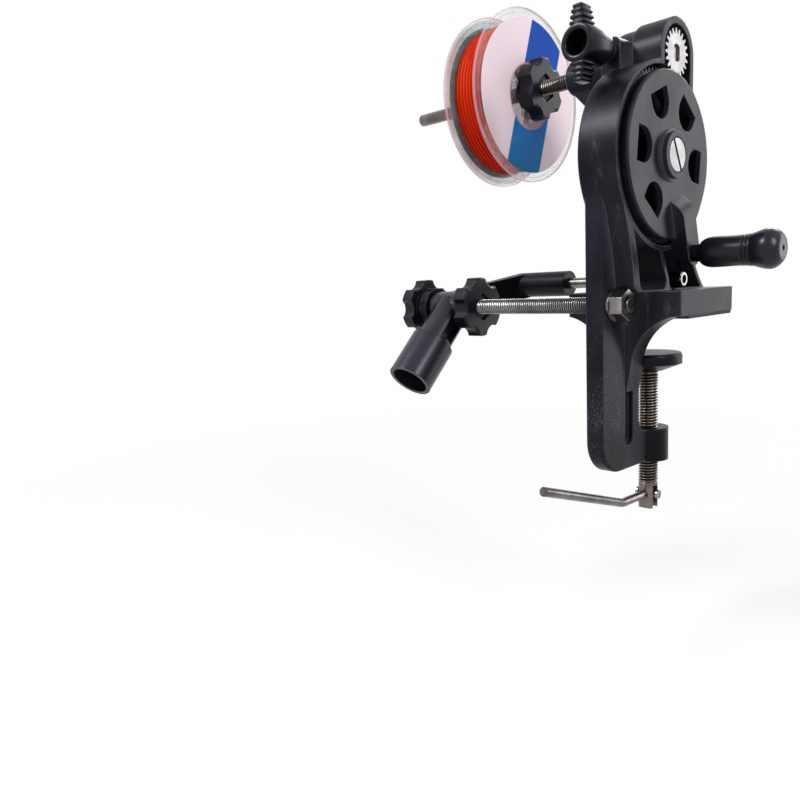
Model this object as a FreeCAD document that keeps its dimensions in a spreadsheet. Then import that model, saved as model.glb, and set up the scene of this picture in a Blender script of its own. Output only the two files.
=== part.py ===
import FreeCAD, Part
import os
from math import acos, atan2, cos, degrees, hypot, pi, radians, sin
import Sketcher
from FreeCAD import Placement, Rotation, Vector

# Table-clamped fishing line winder. +X is the crank side, +Y goes over the table, +Z is up.
# The origin is the middle of the foot's underside, where the winder rests on the table top.

doc = FreeCAD.newDocument("LineWinder")
sheet = doc.addObject("Spreadsheet::Sheet", "dim")

SIZES = (
    # foot, column and jaw
    ("foot_width", 60, "foot across the table edge"),
    ("foot_length", 50, "foot over the table, from the throat wall"),
    ("foot_top", 13.5, "height of the foot's upper face"),
    ("foot_pad_thick", 1.5, "rubber pad under the foot"),
    ("foot_corner", 4, "radius of the foot's upright corners"),
    ("block_depth", 11.5, "front block of the foot, before the throat wall"),
    ("gusset_half", 27, "half width of the gusset under the front block"),
    ("gusset_drop", 35, "how far the gusset runs down the column"),
    ("column_depth", 34, "column from the throat wall to its front face"),
    ("column_thick", 9, "column thickness along the wheel axle"),
    ("column_drop", 74, "underside of the jaw below the table top"),
    ("column_corner", 17, "outer corner of the column and jaw"),
    ("web_thick", 4, "web between the column's two rails"),
    ("rail_width", 20.6, "outer rail of the column"),
    ("column_edge", 1.4, "rounded edges of the column and jaw"),
    ("gusset_curve", 27, "concave lower edges of the gusset"),
    ("gusset_throat", 24, "where those curves end, below the foot"),
    ("throat_rail", 6, "inner rail of the column beside the throat"),
    ("jaw_top", 57.3, "depth of the throat below the table top"),
    ("throat_corner", 7.4, "inner corner of the throat"),
    ("jaw_boss_radius", 10, "boss that carries the clamp screw"),
    ("jaw_boss_drop", 74.3, "underside of that boss"),
    ("screw_setback", 17.9, "clamp screw from the throat wall"),
    # wheel housing and pedestal
    ("axle_rise", 19.1, "underside of the housing above the foot"),
    ("axle_ahead", 19.5, "wheel axle before the foot's centre"),
    ("housing_room", 0.5, "room round the gear ring"),
    ("housing_wall", 1.9, "rim wall of the housing"),
    ("housing_back", 5, "back face of the housing behind the column's middle"),
    ("housing_front", 14.5, "front rim of the housing"),
    ("back_wall", 2.5, "back wall of the housing and pedestal"),
    ("shell_wall", 2.3, "side walls of the hollow pedestal"),
    ("pedestal_shoulder", 35.6, "pedestal's front wall at the housing, before the throat wall"),
    ("pedestal_toe", 21.8, "pedestal's front wall at the foot, before the throat wall"),
    ("pedestal_drop", 12.5, "where the front wall runs into the housing, below the axle"),
    ("pedestal_curve", 165, "hollow curve of that wall"),
    ("front_wall", 4.3, "front wall of the pedestal"),
    ("pocket_floor", 0.4, "floor of the pockets above the foot"),
    ("pocket_corner", 4.5, "rounded corners of the pockets"),
    ("flare_radius", 62, "concave rear side of the pedestal"),
    ("flare_across", 65.4, "centre of that curve behind the foot's centre"),
    ("flare_height", 58.9, "height of that curve's centre"),
    ("rib_thick", 2.6, "rib inside the pedestal"),
    ("rib_toe", 13.4, "foot of the rib before the foot's centre"),
    ("rib_lean", 0.477, "sideways lean of the rib per height"),
    ("axle_boss_radius", 8.5, "boss for the axle screw"),
    ("axle_boss_front", 1, "front face of that boss"),
    ("axle_boss_back", 9, "how far the boss stands out behind"),
    # gears and wheel
    ("module", 1, "gear module"),
    ("wheel_teeth", 80, "teeth on the crank wheel"),
    ("pinion_teeth", 20, "teeth on the pinion"),
    ("mesh_angle", 76.2, "direction from the axle to the spindle above +Y"),
    ("tooth_backlash", 0.25, "flank clearance on each gear"),
    ("ring_back", 5, "back face of the gear ring"),
    ("ring_front", 10.5, "front face of the gear ring"),
    ("ring_depth", 6, "inside of the gear ring below the pitch circle"),
    ("disc_step", 1.1, "rim of the front disc below the pitch circle"),
    ("disc_back", 14.9, "back face of the disc"),
    ("disc_front", 17.5, "front face of the disc"),
    ("disc_round", 1.1, "rounded rim of the disc"),
    ("hub_radius", 12, "hub of the crank wheel"),
    ("hub_back", 2.6, "back of the hub"),
    ("collar_radius", 10.7, "raised collar round the screw head"),
    ("collar_front", 21, "front of that collar"),
    ("collar_bore", 8.2, "recess for the screw head"),
    ("head_seat", 18.5, "bottom of that recess"),
    ("bush_radius", 6.5, "outside of the wheel's bush"),
    ("axle_radius", 4, "axle screw's shoulder"),
    ("running", 0.05, "radial running clearance"),
    ("window_first", -7, "first window's direction above +Y"),
    ("window_rim", 8.4, "disc outside the windows"),
    ("window_half", 8, "half width of a window"),
    ("window_side", 5, "straight side of a window"),
    ("crank_angle", -73, "crank arm's direction above +Y"),
    ("crank_out", 8.6, "handle axis beyond the disc's rim"),
    ("crank_root", 20, "start of the arm from the axle"),
    ("crank_half", 6, "half width of the arm"),
    ("crank_back", 15.4, "back of the arm, clear of the housing rim"),
    ("crank_front", 23, "front of the arm"),
    ("crank_ramp", 5.4, "slope where the arm rises out of the disc"),
    ("crank_round", 9, "rounded top of that slope"),
    # axle screw
    ("screw_head_radius", 7.6, "slotted head"),
    ("screw_head_front", 20.9, "front of the head"),
    ("screw_thread", 3, "thread radius in the boss"),
    ("slot_width", 1.7, "screwdriver slot"),
    ("slot_depth", 1.3, "screwdriver slot"),
    ("washer_thick", 1.2, "washer behind the hub"),
    # crank handle
    ("pin_radius", 3, "handle pin"),
    ("grip_start", 23.3, "grip's end at the arm"),
    ("neck_radius", 4.2, "grip's neck"),
    ("neck_length", 3.5, "grip's neck"),
    ("shank_radius", 7.1, "slim part of the grip"),
    ("groove_first", 45.6, "first finger groove"),
    ("groove_pitch", 2.3, "from groove to groove"),
    ("groove_depth", 0.7, "finger grooves"),
    ("bulb_radius", 9.3, "swelling of the grip"),
    ("bulb_place", 56.5, "widest place of the grip"),
    ("grip_end", 64, "outer end of the grip"),
    ("grip_round", 3.2, "rounded edge of the outer end"),
    ("cap_radius", 4.6, "end cap"),
    # spindle and its housing
    ("spindle_radius", 4, "threaded spindle"),
    ("spindle_front", 14.4, "spindle's end in the pinion"),
    ("spindle_free", 156.3, "spindle's free end behind the column"),
    ("plain_radius", 3.6, "plain free end of the spindle"),
    ("plain_start", 112, "where the thread ends"),
    ("flat_half", 2.9, "half width over the two flats"),
    ("pinion_back", 4.5, "pinion's back face"),
    ("pinion_front", 14, "pinion's front face"),
    ("tower_wall", 3.2, "wall of the spindle housing"),
    ("tower_back", 1, "back of the spindle housing"),
    ("tower_room", 1.8, "room round the pinion"),
    ("tower_floor", 2.2, "floor behind the pinion"),
    ("boss_radius", 14.5, "bearing boss behind the spindle housing"),
    ("boss_back", 16, "back of the bearing boss"),
    ("boss_round", 6.5, "rounded edge of the bearing boss"),
    ("nose_radius", 8, "long bearing nose"),
    ("nose_back", 43, "end of the nose"),
    ("nose_web_thick", 5, "web under the nose"),
    ("nose_web_foot", 78, "height where the web meets the housing back"),
    ("sleeve_radius", 6, "outside of the spindle's bushes"),
    ("front_bush_length", 3.6, "bush behind the pinion"),
    ("rear_bush_length", 9, "bush in the nose"),
    # brake screw
    ("brake_place", 5, "brake screw behind the column's middle"),
    ("brake_face", 34.6, "face of the brake boss before the foot's centre"),
    ("brake_half", 4.9, "half width of the brake boss"),
    ("brake_rise", 6.9, "top of the brake boss above the spindle's axis"),
    ("brake_round", 3.5, "rounded edges of the brake boss"),
    ("stud_radius", 3, "brake stud"),
    ("stud_end", 16.1, "inner end of the stud"),
    ("plug_length", 4.4, "brake plug"),
    ("pivot_radius", 1.3, "stud's end in the plug"),
    ("lock_thick", 3, "locking collar on the stud"),
    ("lock_radius", 4.3, "locking collar"),
    ("knob_radius", 8.3, "wing knob's barrel"),
    ("knob_inner", 44.5, "inner end of the knob"),
    ("knob_outer", 63.4, "mouth of the knob"),
    ("mouth_radius", 5.4, "hollow mouth"),
    ("mouth_depth", 13, "hollow mouth"),
    ("wing_reach", 16.6, "tip of a wing from the knob's axis"),
    ("wing_step", 2.7, "height of each step of a wing"),
    ("wing_half", 3.4, "half width of a wing's first step"),
    ("wing_narrow", 0.75, "how much each step narrows"),
    ("wing_length", 9.5, "wings along the knob's axis"),
    # spool
    ("spool_near", 72.3, "near face of the spool behind the column's middle"),
    ("spool_width", 22.2, "spool over its flanges"),
    ("spool_radius", 46.2, "flanges"),
    ("flange_thick", 1.6, "flanges"),
    ("barrel_radius", 24, "barrel under the line"),
    ("barrel_wall", 2, "spool's walls"),
    ("spool_bore", 10, "spool's bore"),
    ("line_radius", 39.6, "wound line"),
    ("label_inner", 17, "label's hole"),
    ("label_radius", 41.2, "label"),
    ("label_thick", 0.25, "label"),
    # star knobs
    ("star_radius", 16, "star knob"),
    ("star_thick", 8, "star knob's lobes"),
    ("scallop_radius", 6.2, "scallop between two lobes"),
    ("scallop_centre", 19.25, "scallop's centre from the knob's axis"),
    ("star_edge", 0.8, "chamfer round the lobes"),
    ("neck_wide", 11, "round collar of a star knob"),
    ("neck_high", 3.2, "round collar of a star knob"),
    ("centring_radius", 7.5, "step that carries the spool"),
    ("centring_high", 3.8, "step that carries the spool"),
    ("nut_flats", 13, "hexagon nuts across flats"),
    ("nut_thick", 6.5, "hexagon nuts"),
    ("nut_recess", 1.2, "how deep a nut sits in its knob"),
    ("joint_gap", 0.3, "gap between pieces that move on each other"),
    # support rod, rod holder and guide
    ("rod_radius", 4, "support rod"),
    ("rod_inset", 10, "support rod behind the column's front face"),
    ("rod_height", 8, "support rod above the table top"),
    ("rod_free", 127, "support rod's free end"),
    ("rod_washer_radius", 7.6, "washers on the support rod"),
    ("rod_washer_thick", 1.6, "washers on the support rod"),
    ("holder_near", 86.8, "near end of the holder's cross tube"),
    ("holder_width", 21, "holder's cross tube"),
    ("cross_radius", 9, "holder's cross tube"),
    ("arm_radius", 10, "holder's arm"),
    ("arm_angle", 225, "holder's arm above +Y"),
    ("cup_start", 25.7, "shoulder of the cup from the support rod"),
    ("cup_end", 53, "mouth of the cup from the support rod"),
    ("cup_radius", 12.2, "outside of the cup"),
    ("cup_bore", 10, "bore of the cup"),
    ("cup_depth", 24, "bore of the cup"),
    ("recess_start", 6, "recess in the arm"),
    ("recess_end", 24, "recess in the arm"),
    ("recess_half", 4.4, "recess in the arm"),
    ("recess_depth", 4.5, "recess in the arm"),
    ("eye_radius", 11, "eye of the guide arm"),
    ("eye_thick", 4.3, "eye of the guide arm"),
    ("guide_radius", 3, "guide rod"),
    ("guide_behind", 5.5, "guide rod behind the foot's centre"),
    ("guide_height", 18.2, "guide rod above the table top"),
    ("guide_end", 12.6, "guide rod's end in the pedestal"),
    ("guide_head_radius", 3.9, "head that keeps the guide rod in the pedestal"),
    ("guide_head_length", 11, "that head"),
    ("guide_socket", 2.2, "socket in the head"),
    ("guide_boss_radius", 5.6, "boss that guides the rod"),
    ("guide_boss_back", 12, "back of that boss"),
    ("carrier_radius", 7.2, "sleeve on the guide rod"),
    ("carrier_near", 56, "near end of the sleeve"),
    ("carrier_far", 91, "far end of the sleeve"),
    ("link_wide", 8, "link at the sleeve"),
    # clamp
    ("clamp_radius", 5, "clamp screw"),
    ("clamp_open", 18.4, "pad below the foot"),
    ("clamp_pad_radius", 16.5, "clamp pad"),
    ("clamp_pad_rim", 5.6, "rim of the clamp pad"),
    ("clamp_pad_thick", 9.2, "clamp pad over its cone"),
    ("clamp_cone_radius", 7.5, "foot of the cone"),
    ("nose_pin_radius", 3.4, "screw's nose in the pad"),
    ("nose_pin_length", 9, "screw's nose in the pad"),
    ("clamp_thread_end", 87.6, "where the screw's thread ends"),
    ("clevis_drop", 101, "screw's lower end"),
    ("clevis_radius", 4.8, "screw's forked end"),
    ("clevis_slot", 4.9, "slot in the forked end"),
    ("clevis_floor", 88.7, "top of that slot"),
    ("hinge_drop", 93.5, "hinge pin of the handle"),
    ("hinge_radius", 1.5, "hinge pin of the handle"),
    ("hinge_head", 2.4, "heads of the hinge pin"),
    ("hinge_reach", 6.2, "hinge pin's ends"),
    ("lever_radius", 2.25, "bent handle bar"),
    ("lever_eye", 3.3, "flattened eye of the bar"),
    ("lever_bend_ahead", 33.5, "bend of the bar before the foot's centre"),
    ("lever_bend_drop", 92.9, "bend of the bar below the table top"),
    ("lever_end_ahead", 99.9, "end of the bar before the foot's centre"),
    ("lever_end_drop", 71.7, "end of the bar below the table top"),
    ("lever_bend_radius", 12, "radius of the bend"),
    ("jaw_bush_radius", 7, "threaded bush in the jaw"),
    ("jaw_bush_length", 13, "threaded bush in the jaw"),
)

# Places that several pieces share, as expressions on the sheet.
PITCH = "(dim.module * dim.wheel_teeth / 2)"
HOUSING = "(%s + dim.module + dim.housing_room + dim.housing_wall)" % PITCH
AXLE_Z = "(dim.foot_top + dim.axle_rise + %s)" % HOUSING
AXLE = ("0", "-dim.axle_ahead", AXLE_Z)
CENTRES = "(dim.module * (dim.wheel_teeth + dim.pinion_teeth) / 2)"
DISC = "(%s - dim.disc_step)" % PITCH
WINDOW = "(%s - dim.window_rim)" % DISC
RING_INNER = "(%s - dim.ring_depth)" % PITCH
CRANK_OUT = "(%s + dim.crank_out)" % DISC
TOWER_BORE = "(dim.module * (dim.pinion_teeth / 2 + 1) + dim.tower_room)"
TOWER = "(%s + dim.tower_wall)" % TOWER_BORE
SPINDLE_Y = "(%s * cos(dim.mesh_angle) - dim.axle_ahead)" % CENTRES
SPINDLE_Z = "(%s * sin(dim.mesh_angle) + %s)" % (CENTRES, AXLE_Z)
SPINDLE = ("0", SPINDLE_Y, SPINDLE_Z)
# the spool hangs on the steps of its two knobs
SPOOL = ("0", SPINDLE_Y, "(%s - dim.spool_bore + dim.centring_radius + dim.joint_gap)" % SPINDLE_Z)
THROAT = "(-dim.foot_length / 2)"
COLUMN_FRONT = "(%s - dim.column_depth)" % THROAT
SCREW_Y = "(%s + dim.screw_setback)" % THROAT
PEDESTAL_TOE = "(%s - dim.pedestal_toe)" % THROAT
PEDESTAL_SHOULDER = "(%s - dim.pedestal_shoulder)" % THROAT
ROD = ("0", "(%s + dim.rod_inset)" % COLUMN_FRONT, "dim.rod_height")
GUIDE = ("0", "dim.guide_behind", "dim.guide_height")
CLAMP = ("0", SCREW_Y, "0")
CRANK_Y = "(%s * cos(dim.crank_angle) - dim.axle_ahead)" % CRANK_OUT
CRANK_Z = "(%s * sin(dim.crank_angle) + %s)" % (CRANK_OUT, AXLE_Z)
BRAKE = ("-dim.brake_place", "0", SPINDLE_Z)
PIECES = []


def fill_sheet():
    for row, (alias, size, meaning) in enumerate(SIZES, start=1):
        sheet.set("A%d" % row, meaning)
        sheet.set("B%d" % row, str(size))
        sheet.setAlias("B%d" % row, alias)
    doc.recompute()


def size_of(expression):
    """The present value, in mm or degrees, of an expression on the sheet."""
    found = sheet.evalExpression(expression)
    return float(getattr(found, "Value", found))


def new_body(name, at=("0", "0", "0")):
    body = doc.addObject("PartDesign::Body", name)
    body.Label = name
    for axis, expression in zip("xyz", at):
        body.setExpression("Placement.Base." + axis, expression)
    PIECES.append(body)
    return body


def new_sketch(body, plane, level, turn=None):
    """A sketch parallel to one of the body's origin planes, at a level along its normal axis."""
    sketch = body.newObject("Sketcher::SketchObject", body.Name + "_sketch")
    base = [item for item in body.Origin.OriginFeatures if item.Role == plane + "_Plane"][0]
    sketch.AttachmentSupport = [(base, "")]
    sketch.MapMode = "FlatFace"
    sketch.AttachmentOffset = Placement(Vector(), Rotation(Vector(0, 0, 1), 0.001))
    if turn:
        sketch.setExpression("AttachmentOffset.Rotation.Angle", turn)
    else:
        sketch.AttachmentOffset = Placement()
    # the XZ plane's normal points along -Y
    sketch.setExpression("AttachmentOffset.Base.z", "-(%s)" % level if plane == "XZ" else level)
    return sketch


def fix_point(sketch, edge, end, across, up):
    for kind, expression in (("DistanceX", across), ("DistanceY", up)):
        rule = Sketcher.Constraint(kind, -1, 1, edge, end, size_of(expression))
        sketch.setExpression("Constraints[%d]" % sketch.addConstraint(rule), expression)


def fix_size(sketch, kind, edge, expression):
    rule = Sketcher.Constraint(kind, edge, size_of(expression))
    sketch.setExpression("Constraints[%d]" % sketch.addConstraint(rule), expression)


def circle(sketch, across, up, radius):
    centre = Vector(size_of(across), size_of(up), 0)
    edge = sketch.addGeometry(Part.Circle(centre, Vector(0, 0, 1), size_of(radius)))
    fix_point(sketch, edge, 3, across, up)
    fix_size(sketch, "Radius", edge, radius)


def arc_between(start, end, radius, leftward):
    """The shorter arc from start to end, bulging to the left or right of that way."""
    chord = end - start
    rise = max(radius ** 2 - (chord.Length / 2) ** 2, 0) ** 0.5
    left = Vector(-chord.y, chord.x, 0).normalize()
    centre = (start + end) * 0.5 + left * (-rise if leftward else rise)
    first, last = (end, start) if leftward else (start, end)
    angles = [atan2(point.y - centre.y, point.x - centre.x) for point in (first, last)]
    return Part.ArcOfCircle(Part.Circle(centre, Vector(0, 0, 1), radius), *angles)


def outline(sketch, corners, closed=True):
    """Corners are (across, up) or (across, up, radius, side): an arc leaves the second kind."""
    points = [Vector(size_of(corner[0]), size_of(corner[1]), 0) for corner in corners]
    edges, starts, ends = [], [], []
    count = len(corners) if closed else len(corners) - 1
    for index in range(count):
        start, end = points[index], points[(index + 1) % len(points)]
        corner = corners[index]
        if len(corner) == 4:
            leftward = corner[3] == "left"
            edge = sketch.addGeometry(arc_between(start, end, size_of(corner[2]), leftward))
            starts.append(2 if leftward else 1)
            ends.append(1 if leftward else 2)
        else:
            edge = sketch.addGeometry(Part.LineSegment(start, end))
            starts.append(1)
            ends.append(2)
        edges.append(edge)
    for index in range(count if closed else count - 1):
        after = (index + 1) % count
        sketch.addConstraint(Sketcher.Constraint(
            "Coincident", edges[index], ends[index], edges[after], starts[after]))
    for index in range(count):
        fix_point(sketch, edges[index], starts[index], corners[index][0], corners[index][1])
        if len(corners[index]) == 4:
            fix_size(sketch, "Radius", edges[index], corners[index][2])
    if not closed:
        fix_point(sketch, edges[-1], ends[-1], corners[-1][0], corners[-1][1])


def rectangle(sketch, left, right, low, high):
    outline(sketch, ((left, low), (right, low), (right, high), (left, high)))


def stadium(sketch, left, right, low, high):
    """An upright slot with round ends."""
    radius = "((%s - %s) / 2 * 1.0001)" % (right, left)
    bottom, top = "(%s + %s)" % (low, radius), "(%s - %s)" % (high, radius)
    outline(sketch, ((left, bottom, radius, "right"), (right, bottom),
                     (right, top, radius, "right"), (left, top)))


def slab(body, plane, low, high, draw, cut=False, turn=None):
    """Adds, or cuts away, what draw() outlines between two levels along the plane's normal axis."""
    sketch = new_sketch(body, plane, high if plane == "XZ" else low, turn)
    draw(sketch)
    kind = "Pocket" if cut else "Pad"
    feature = body.newObject("PartDesign::" + kind, body.Name + "_" + kind.lower())
    feature.Profile = sketch
    feature.Type = 0
    feature.setExpression("Length", "(%s) - (%s)" % (high, low))
    feature.Reversed = cut
    return feature


def round_slab(body, plane, low, high, across, up, radius, cut=False):
    return slab(body, plane, low, high, lambda sketch: circle(sketch, across, up, radius), cut)


def revolve(body, axis, profile, cut=False):
    """Turns a profile of (along, radius) corners about the body's own X, Y or Z axis."""
    sketch = new_sketch(body, "XZ" if axis == "Z" else "XY", "0")
    if axis == "X":
        outline(sketch, profile)
    else:
        outline(sketch, [(corner[1], corner[0]) + tuple(corner[2:]) for corner in profile])
    kind = "Groove" if cut else "Revolution"
    feature = body.newObject("PartDesign::" + kind, body.Name + "_" + kind.lower())
    feature.Profile = sketch
    feature.ReferenceAxis = (sketch, ["H_Axis" if axis == "X" else "V_Axis"])
    feature.Angle = 360
    return feature


def turned(name, at, axis, profile):
    body = new_body(name, at)
    revolve(body, axis, profile)
    return body


def ring(name, at, axis, low, high, inner, outer):
    return turned(name, at, axis, ((low, inner), (high, inner), (high, outer), (low, outer)))


def dress(body, kind, size, test):
    """Fillets or chamfers the edges of the body's last feature that pass a test."""
    doc.recompute()
    base = body.Tip
    names = ["Edge%d" % (index + 1) for index, edge in enumerate(base.Shape.Edges) if test(edge)]
    feature = body.newObject("PartDesign::" + kind, body.Name + "_" + kind.lower())
    feature.Base = (base, names)
    feature.setExpression("Radius" if kind == "Fillet" else "Size", size)
    return feature


def polar(body, features, axis, count, sweep):
    """Repeats features about one of the body's own axes."""
    doc.recompute()
    pattern = body.newObject("PartDesign::PolarPattern", body.Name + "_pattern")
    pattern.Originals = features
    base = [item for item in body.Origin.OriginFeatures if item.Role == axis + "_Axis"][0]
    pattern.Axis = (base, [""])
    pattern.setExpression("Occurrences", count)
    pattern.setExpression("Angle", sweep)
    body.Tip = pattern
    return pattern


def near(value, expression, slack=0.02):
    return abs(value - size_of(expression)) < slack


def edge_middle(edge):
    return edge.valueAt((edge.FirstParameter + edge.LastParameter) / 2)


# ---------------------------------------------------------------- frame


def build_frame():
    frame = new_body("frame")
    half = "dim.column_thick / 2"
    front = COLUMN_FRONT
    corner = "dim.column_corner"
    inner = "dim.throat_corner"
    # the C of the clamp: column, jaw and their round corners
    slab(frame, "YZ", "-%s" % half, half, lambda sketch: outline(sketch, (
        (front, AXLE_Z),
        (front, "%s - dim.column_drop" % corner, corner, "right"),
        ("%s + %s" % (front, corner), "-dim.column_drop"),
        (SCREW_Y, "-dim.column_drop"),
        (SCREW_Y, "-dim.jaw_top"),
        ("%s + %s" % (THROAT, inner), "-dim.jaw_top", inner, "left"),
        (THROAT, "%s - dim.jaw_top" % inner),
        (THROAT, AXLE_Z))))
    dress(frame, "Fillet", "dim.column_edge", lambda edge: near(abs(edge_middle(edge).x), half) and (
        near(edge_middle(edge).y, front) or near(edge_middle(edge).z, "-dim.column_drop")
        or (edge_middle(edge).y < size_of("%s + %s" % (front, corner))
            and edge_middle(edge).z < size_of("%s - dim.column_drop" % corner))))
    # the jaw's boss for the clamp screw and its threaded bush
    bush_top = "(dim.jaw_bush_length - dim.jaw_boss_drop)"
    round_slab(frame, "XY", "-dim.jaw_boss_drop", "-dim.jaw_top", "0", SCREW_Y, "dim.jaw_boss_radius")
    round_slab(frame, "XY", "-dim.jaw_boss_drop", bush_top, "0", SCREW_Y, "dim.jaw_bush_radius", cut=True)
    round_slab(frame, "XY", bush_top, "-dim.jaw_top", "0", SCREW_Y, "dim.clamp_radius + dim.joint_gap",
               cut=True)
    # both faces are recessed between the outer rail and the throat rail
    for low, high in (("dim.web_thick / 2", half), ("-%s" % half, "-dim.web_thick / 2")):
        slab(frame, "YZ", low, high, lambda sketch: stadium(
            sketch, "(dim.rail_width + %s)" % COLUMN_FRONT, "(%s - dim.throat_rail)" % THROAT,
            "(2 * dim.throat_rail - dim.column_drop)", "-dim.foot_pad_thick"), cut=True)
    build_pedestal(frame)
    build_foot(frame)
    build_housing(frame)
    # a seat for the washer and nut, then the holes for the support rod and the guide rod
    round_slab(frame, "YZ", half, "dim.housing_front", ROD[1], ROD[2],
               "dim.rod_washer_radius + dim.joint_gap", cut=True)
    round_slab(frame, "YZ", "-dim.housing_front", "dim.housing_front", ROD[1], ROD[2],
               "dim.rod_radius + dim.running", cut=True)
    round_slab(frame, "YZ", "-dim.guide_boss_back", "-dim.housing_back", GUIDE[1], GUIDE[2],
               "dim.guide_boss_radius")
    round_slab(frame, "YZ", "-dim.guide_boss_back", "dim.housing_front", GUIDE[1], GUIDE[2],
               "dim.guide_radius + dim.running", cut=True)
    return frame


def build_pedestal(frame):
    """The hollow stand between the foot and the wheel housing, open to the crank side."""
    toe, top = "dim.foot_top", "(%s - dim.pedestal_drop)" % AXLE_Z
    back, rim = "-dim.housing_back", "dim.housing_front"
    end = "dim.foot_length / 2"
    slab(frame, "YZ", back, rim, lambda sketch: outline(sketch, (
        (PEDESTAL_SHOULDER, top, "dim.pedestal_curve", "left"), (PEDESTAL_TOE, toe),
        (end, toe), (end, top))))
    round_slab(frame, "YZ", back, rim, "dim.flare_across", "dim.flare_height", "dim.flare_radius", cut=True)
    floor = "(dim.foot_top + dim.pocket_floor)"
    corner = "dim.pocket_corner"
    raised = "(%s + %s)" % (floor, corner)
    inset = "(%s + dim.front_wall)" % PEDESTAL_TOE
    # the rib leans forward as it rises
    rib_half = "dim.rib_thick / 2"
    rib_top = "(-dim.rib_toe - dim.rib_lean * (%s - dim.foot_top))" % top
    bent = "(dim.rib_lean * %s)" % corner
    slab(frame, "YZ", "dim.back_wall + %s" % back, rim, lambda sketch: outline(sketch, (
        ("%s + dim.front_wall" % PEDESTAL_SHOULDER, top, "dim.pedestal_curve", "left"),
        (inset, raised, corner, "right"),
        ("%s + %s" % (inset, corner), floor),
        ("-dim.rib_toe - %s - %s" % (rib_half, corner), floor, corner, "right"),
        ("-dim.rib_toe - %s - %s" % (rib_half, bent), raised),
        ("%s - %s" % (rib_top, rib_half), top))), cut=True)
    # the rear pocket follows the flared wall
    flare = "(dim.flare_radius + dim.shell_wall)"

    def flare_at(level):
        return "(dim.flare_across - sqrt(%s ^ 2 - (dim.flare_height - %s) ^ 2))" % (flare, level)

    slab(frame, "YZ", "dim.back_wall + %s" % back, rim, lambda sketch: outline(sketch, (
        ("%s + %s" % (rib_top, rib_half), top),
        ("%s - dim.rib_toe - %s" % (rib_half, bent), raised, corner, "right"),
        ("%s - dim.rib_toe + %s" % (rib_half, corner), floor),
        (flare_at(floor), floor, flare, "left"),
        (flare_at(top), top))), cut=True)


def build_foot(frame):
    side = "dim.foot_width / 2"
    block = "(%s - dim.block_depth)" % THROAT
    slab(frame, "XY", "dim.foot_pad_thick", "dim.foot_top", lambda sketch: rectangle(
        sketch, "-%s" % side, side, block, "dim.foot_length / 2"))
    dress(frame, "Fillet", "dim.foot_corner", lambda edge: edge.Length < size_of("dim.foot_top")
          and near(abs(edge_middle(edge).x), side) and abs(edge.tangentAt(edge.FirstParameter).z) > 0.99)
    half = "dim.column_thick / 2"
    waist = "(%s + 2)" % half
    slab(frame, "XZ", block, THROAT, lambda sketch: outline(sketch, (
        ("-dim.gusset_half", "dim.foot_pad_thick", "dim.gusset_curve", "left"),
        ("-%s" % waist, "-dim.gusset_throat"), ("-%s" % half, "-dim.gusset_drop"),
        (half, "-dim.gusset_drop"), (waist, "-dim.gusset_throat", "dim.gusset_curve", "left"),
        ("dim.gusset_half", "dim.foot_pad_thick"))))


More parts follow.
